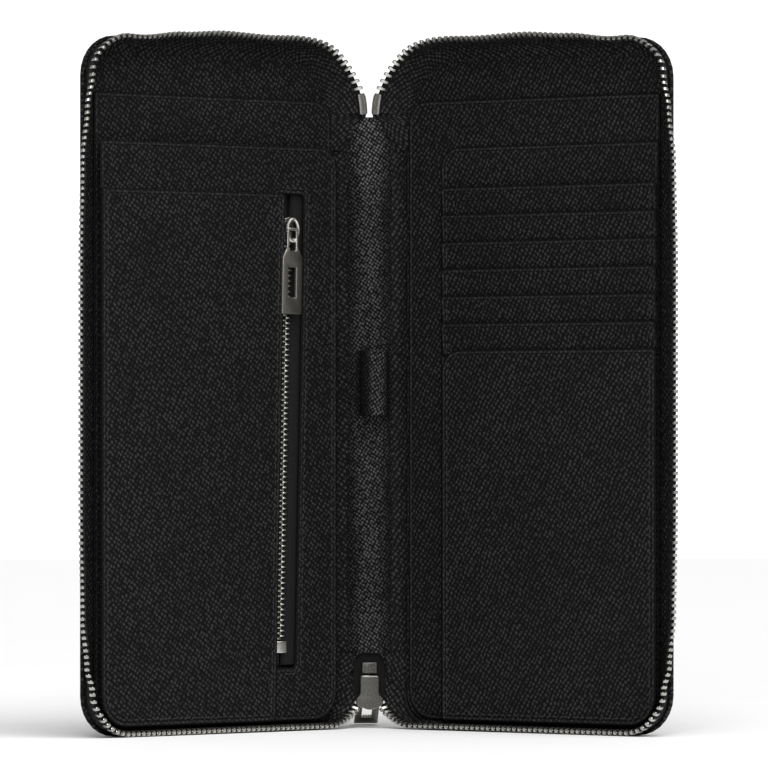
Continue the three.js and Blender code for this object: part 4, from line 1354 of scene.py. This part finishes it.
for side in (-1, 1):
    cover(side)
    zip_wall(side)
    foot_transition(side)
    top_gusset(side)
    folds(side)

left_pockets()
right_pockets()
pocket_zip()
turned_over = np.array([1, -1, -1]) * PZ_SCALE
slider(at_pocket_slider, "pocket_slider_body", "pocket_slider", "pocket_zip_slider", ring_bridge, turned_over)
pull(at_pocket_pull, "pocket_pull_tab", "pocket_pull", "pocket_zip_pull", POCKET_PULL_LENGTH)
spine_lining()
spine_back()
pen_loop()
main_zip_end()
slider(at_main_slider, "main_slider_body", "main_slider", "main_zip_slider", strap_bridge)
pull(at_main_pull, "main_pull_tab", "main_pull", "main_zip_pull", PULL_LENGTH)

INSIDE = (
    ("spine_stiffener", BOARD), ("left_cover_board", BOARD), ("right_cover_board", BOARD),
    ("zip_pocket_lining", CLOTH), ("card_slot_tails", CLOTH),
)
for name, material in INSIDE:
    materials = bpy.data.objects[name].data.materials
    materials.clear()
    materials.append(material)

# ---- floor, light and camera -------------------------------------------------------------------


def floor():
    size, steps = 6.0, 24
    ticks = size * (np.arange(steps + 1) / steps - 0.5)
    verts = [(x, y, 0) for x in ticks for y in ticks]
    starts = [i * (steps + 1) + j for i in range(steps) for j in range(steps)]
    faces = [(a, a + steps + 1, a + steps + 2, a + 1) for a in starts]
    mesh = bpy.data.meshes.new("floor")
    mesh.from_pydata(verts, [], faces)
    mesh.materials.append(paper_white("floor_white"))
    obj = bpy.data.objects.new("floor", mesh)
    bpy.context.scene.collection.objects.link(obj)


def aimed(name, light, way):
    """A light's object, shining along way."""
    obj = bpy.data.objects.new(name, light)
    obj.rotation_euler = Vector(way).to_track_quat("-Z", "Y").to_euler()
    bpy.context.scene.collection.objects.link(obj)
    return obj


def area_light(name, place, target, size, power):
    light = bpy.data.lights.new(name, "AREA")
    light.shape = "RECTANGLE"
    light.size, light.size_y = size
    light.energy = power
    aimed(name, light, np.array(target) - np.array(place)).location = place


def soft_sun(way, strength, spread):
    light = bpy.data.lights.new("sun", "SUN")
    light.energy = strength
    light.angle = math.radians(spread)
    aimed("sun", light, way)


AMBIENT, BACKDROP = 0.3, 1.2  # the backdrop is brighter to the camera than as a light


def world():
    scene_world = bpy.data.worlds.new("studio")
    scene_world.use_nodes = True
    tree = scene_world.node_tree
    background = tree.nodes["Background"]
    background.inputs["Color"].default_value = (1, 1, 1, 1)
    seen = tree.nodes.new("ShaderNodeLightPath").outputs["Is Camera Ray"]
    level = tree.nodes.new("ShaderNodeMapRange")
    level.inputs["To Min"].default_value = AMBIENT
    level.inputs["To Max"].default_value = BACKDROP
    tree.links.new(seen, level.inputs["Value"])
    tree.links.new(level.outputs["Result"], background.inputs["Strength"])
    bpy.context.scene.world = scene_world


bpy.context.scene.view_settings.view_transform = "Standard"
floor()
world()
soft_sun((-0.25, 0.55, -1.0), 3.2, 60)
area_light("key", (-0.2, -1.5, 0.7), (0, 0, 0.13), (0.4, 0.5), 7)

# The camera stands a little left of the middle and below half the height, far off; the shift lifts
# what it sees.
PICTURE, HORIZON = 768, 440  # pixels: the picture's side, and the camera's height in it from the top
camera_data = bpy.data.cameras.new("camera")
camera_data.sensor_width = 36
camera_data.lens = 279.4
camera_data.clip_end = 50
camera = bpy.data.objects.new("camera", camera_data)
camera.location = (-0.095, -2.1 + HINGE_Y * MM, 0.1015)
camera.rotation_euler = (math.radians(90), 0, math.radians(-2.735))
camera_data.shift_y = (HORIZON - PICTURE / 2) / PICTURE
bpy.context.scene.collection.objects.link(camera)
bpy.context.scene.camera = camera
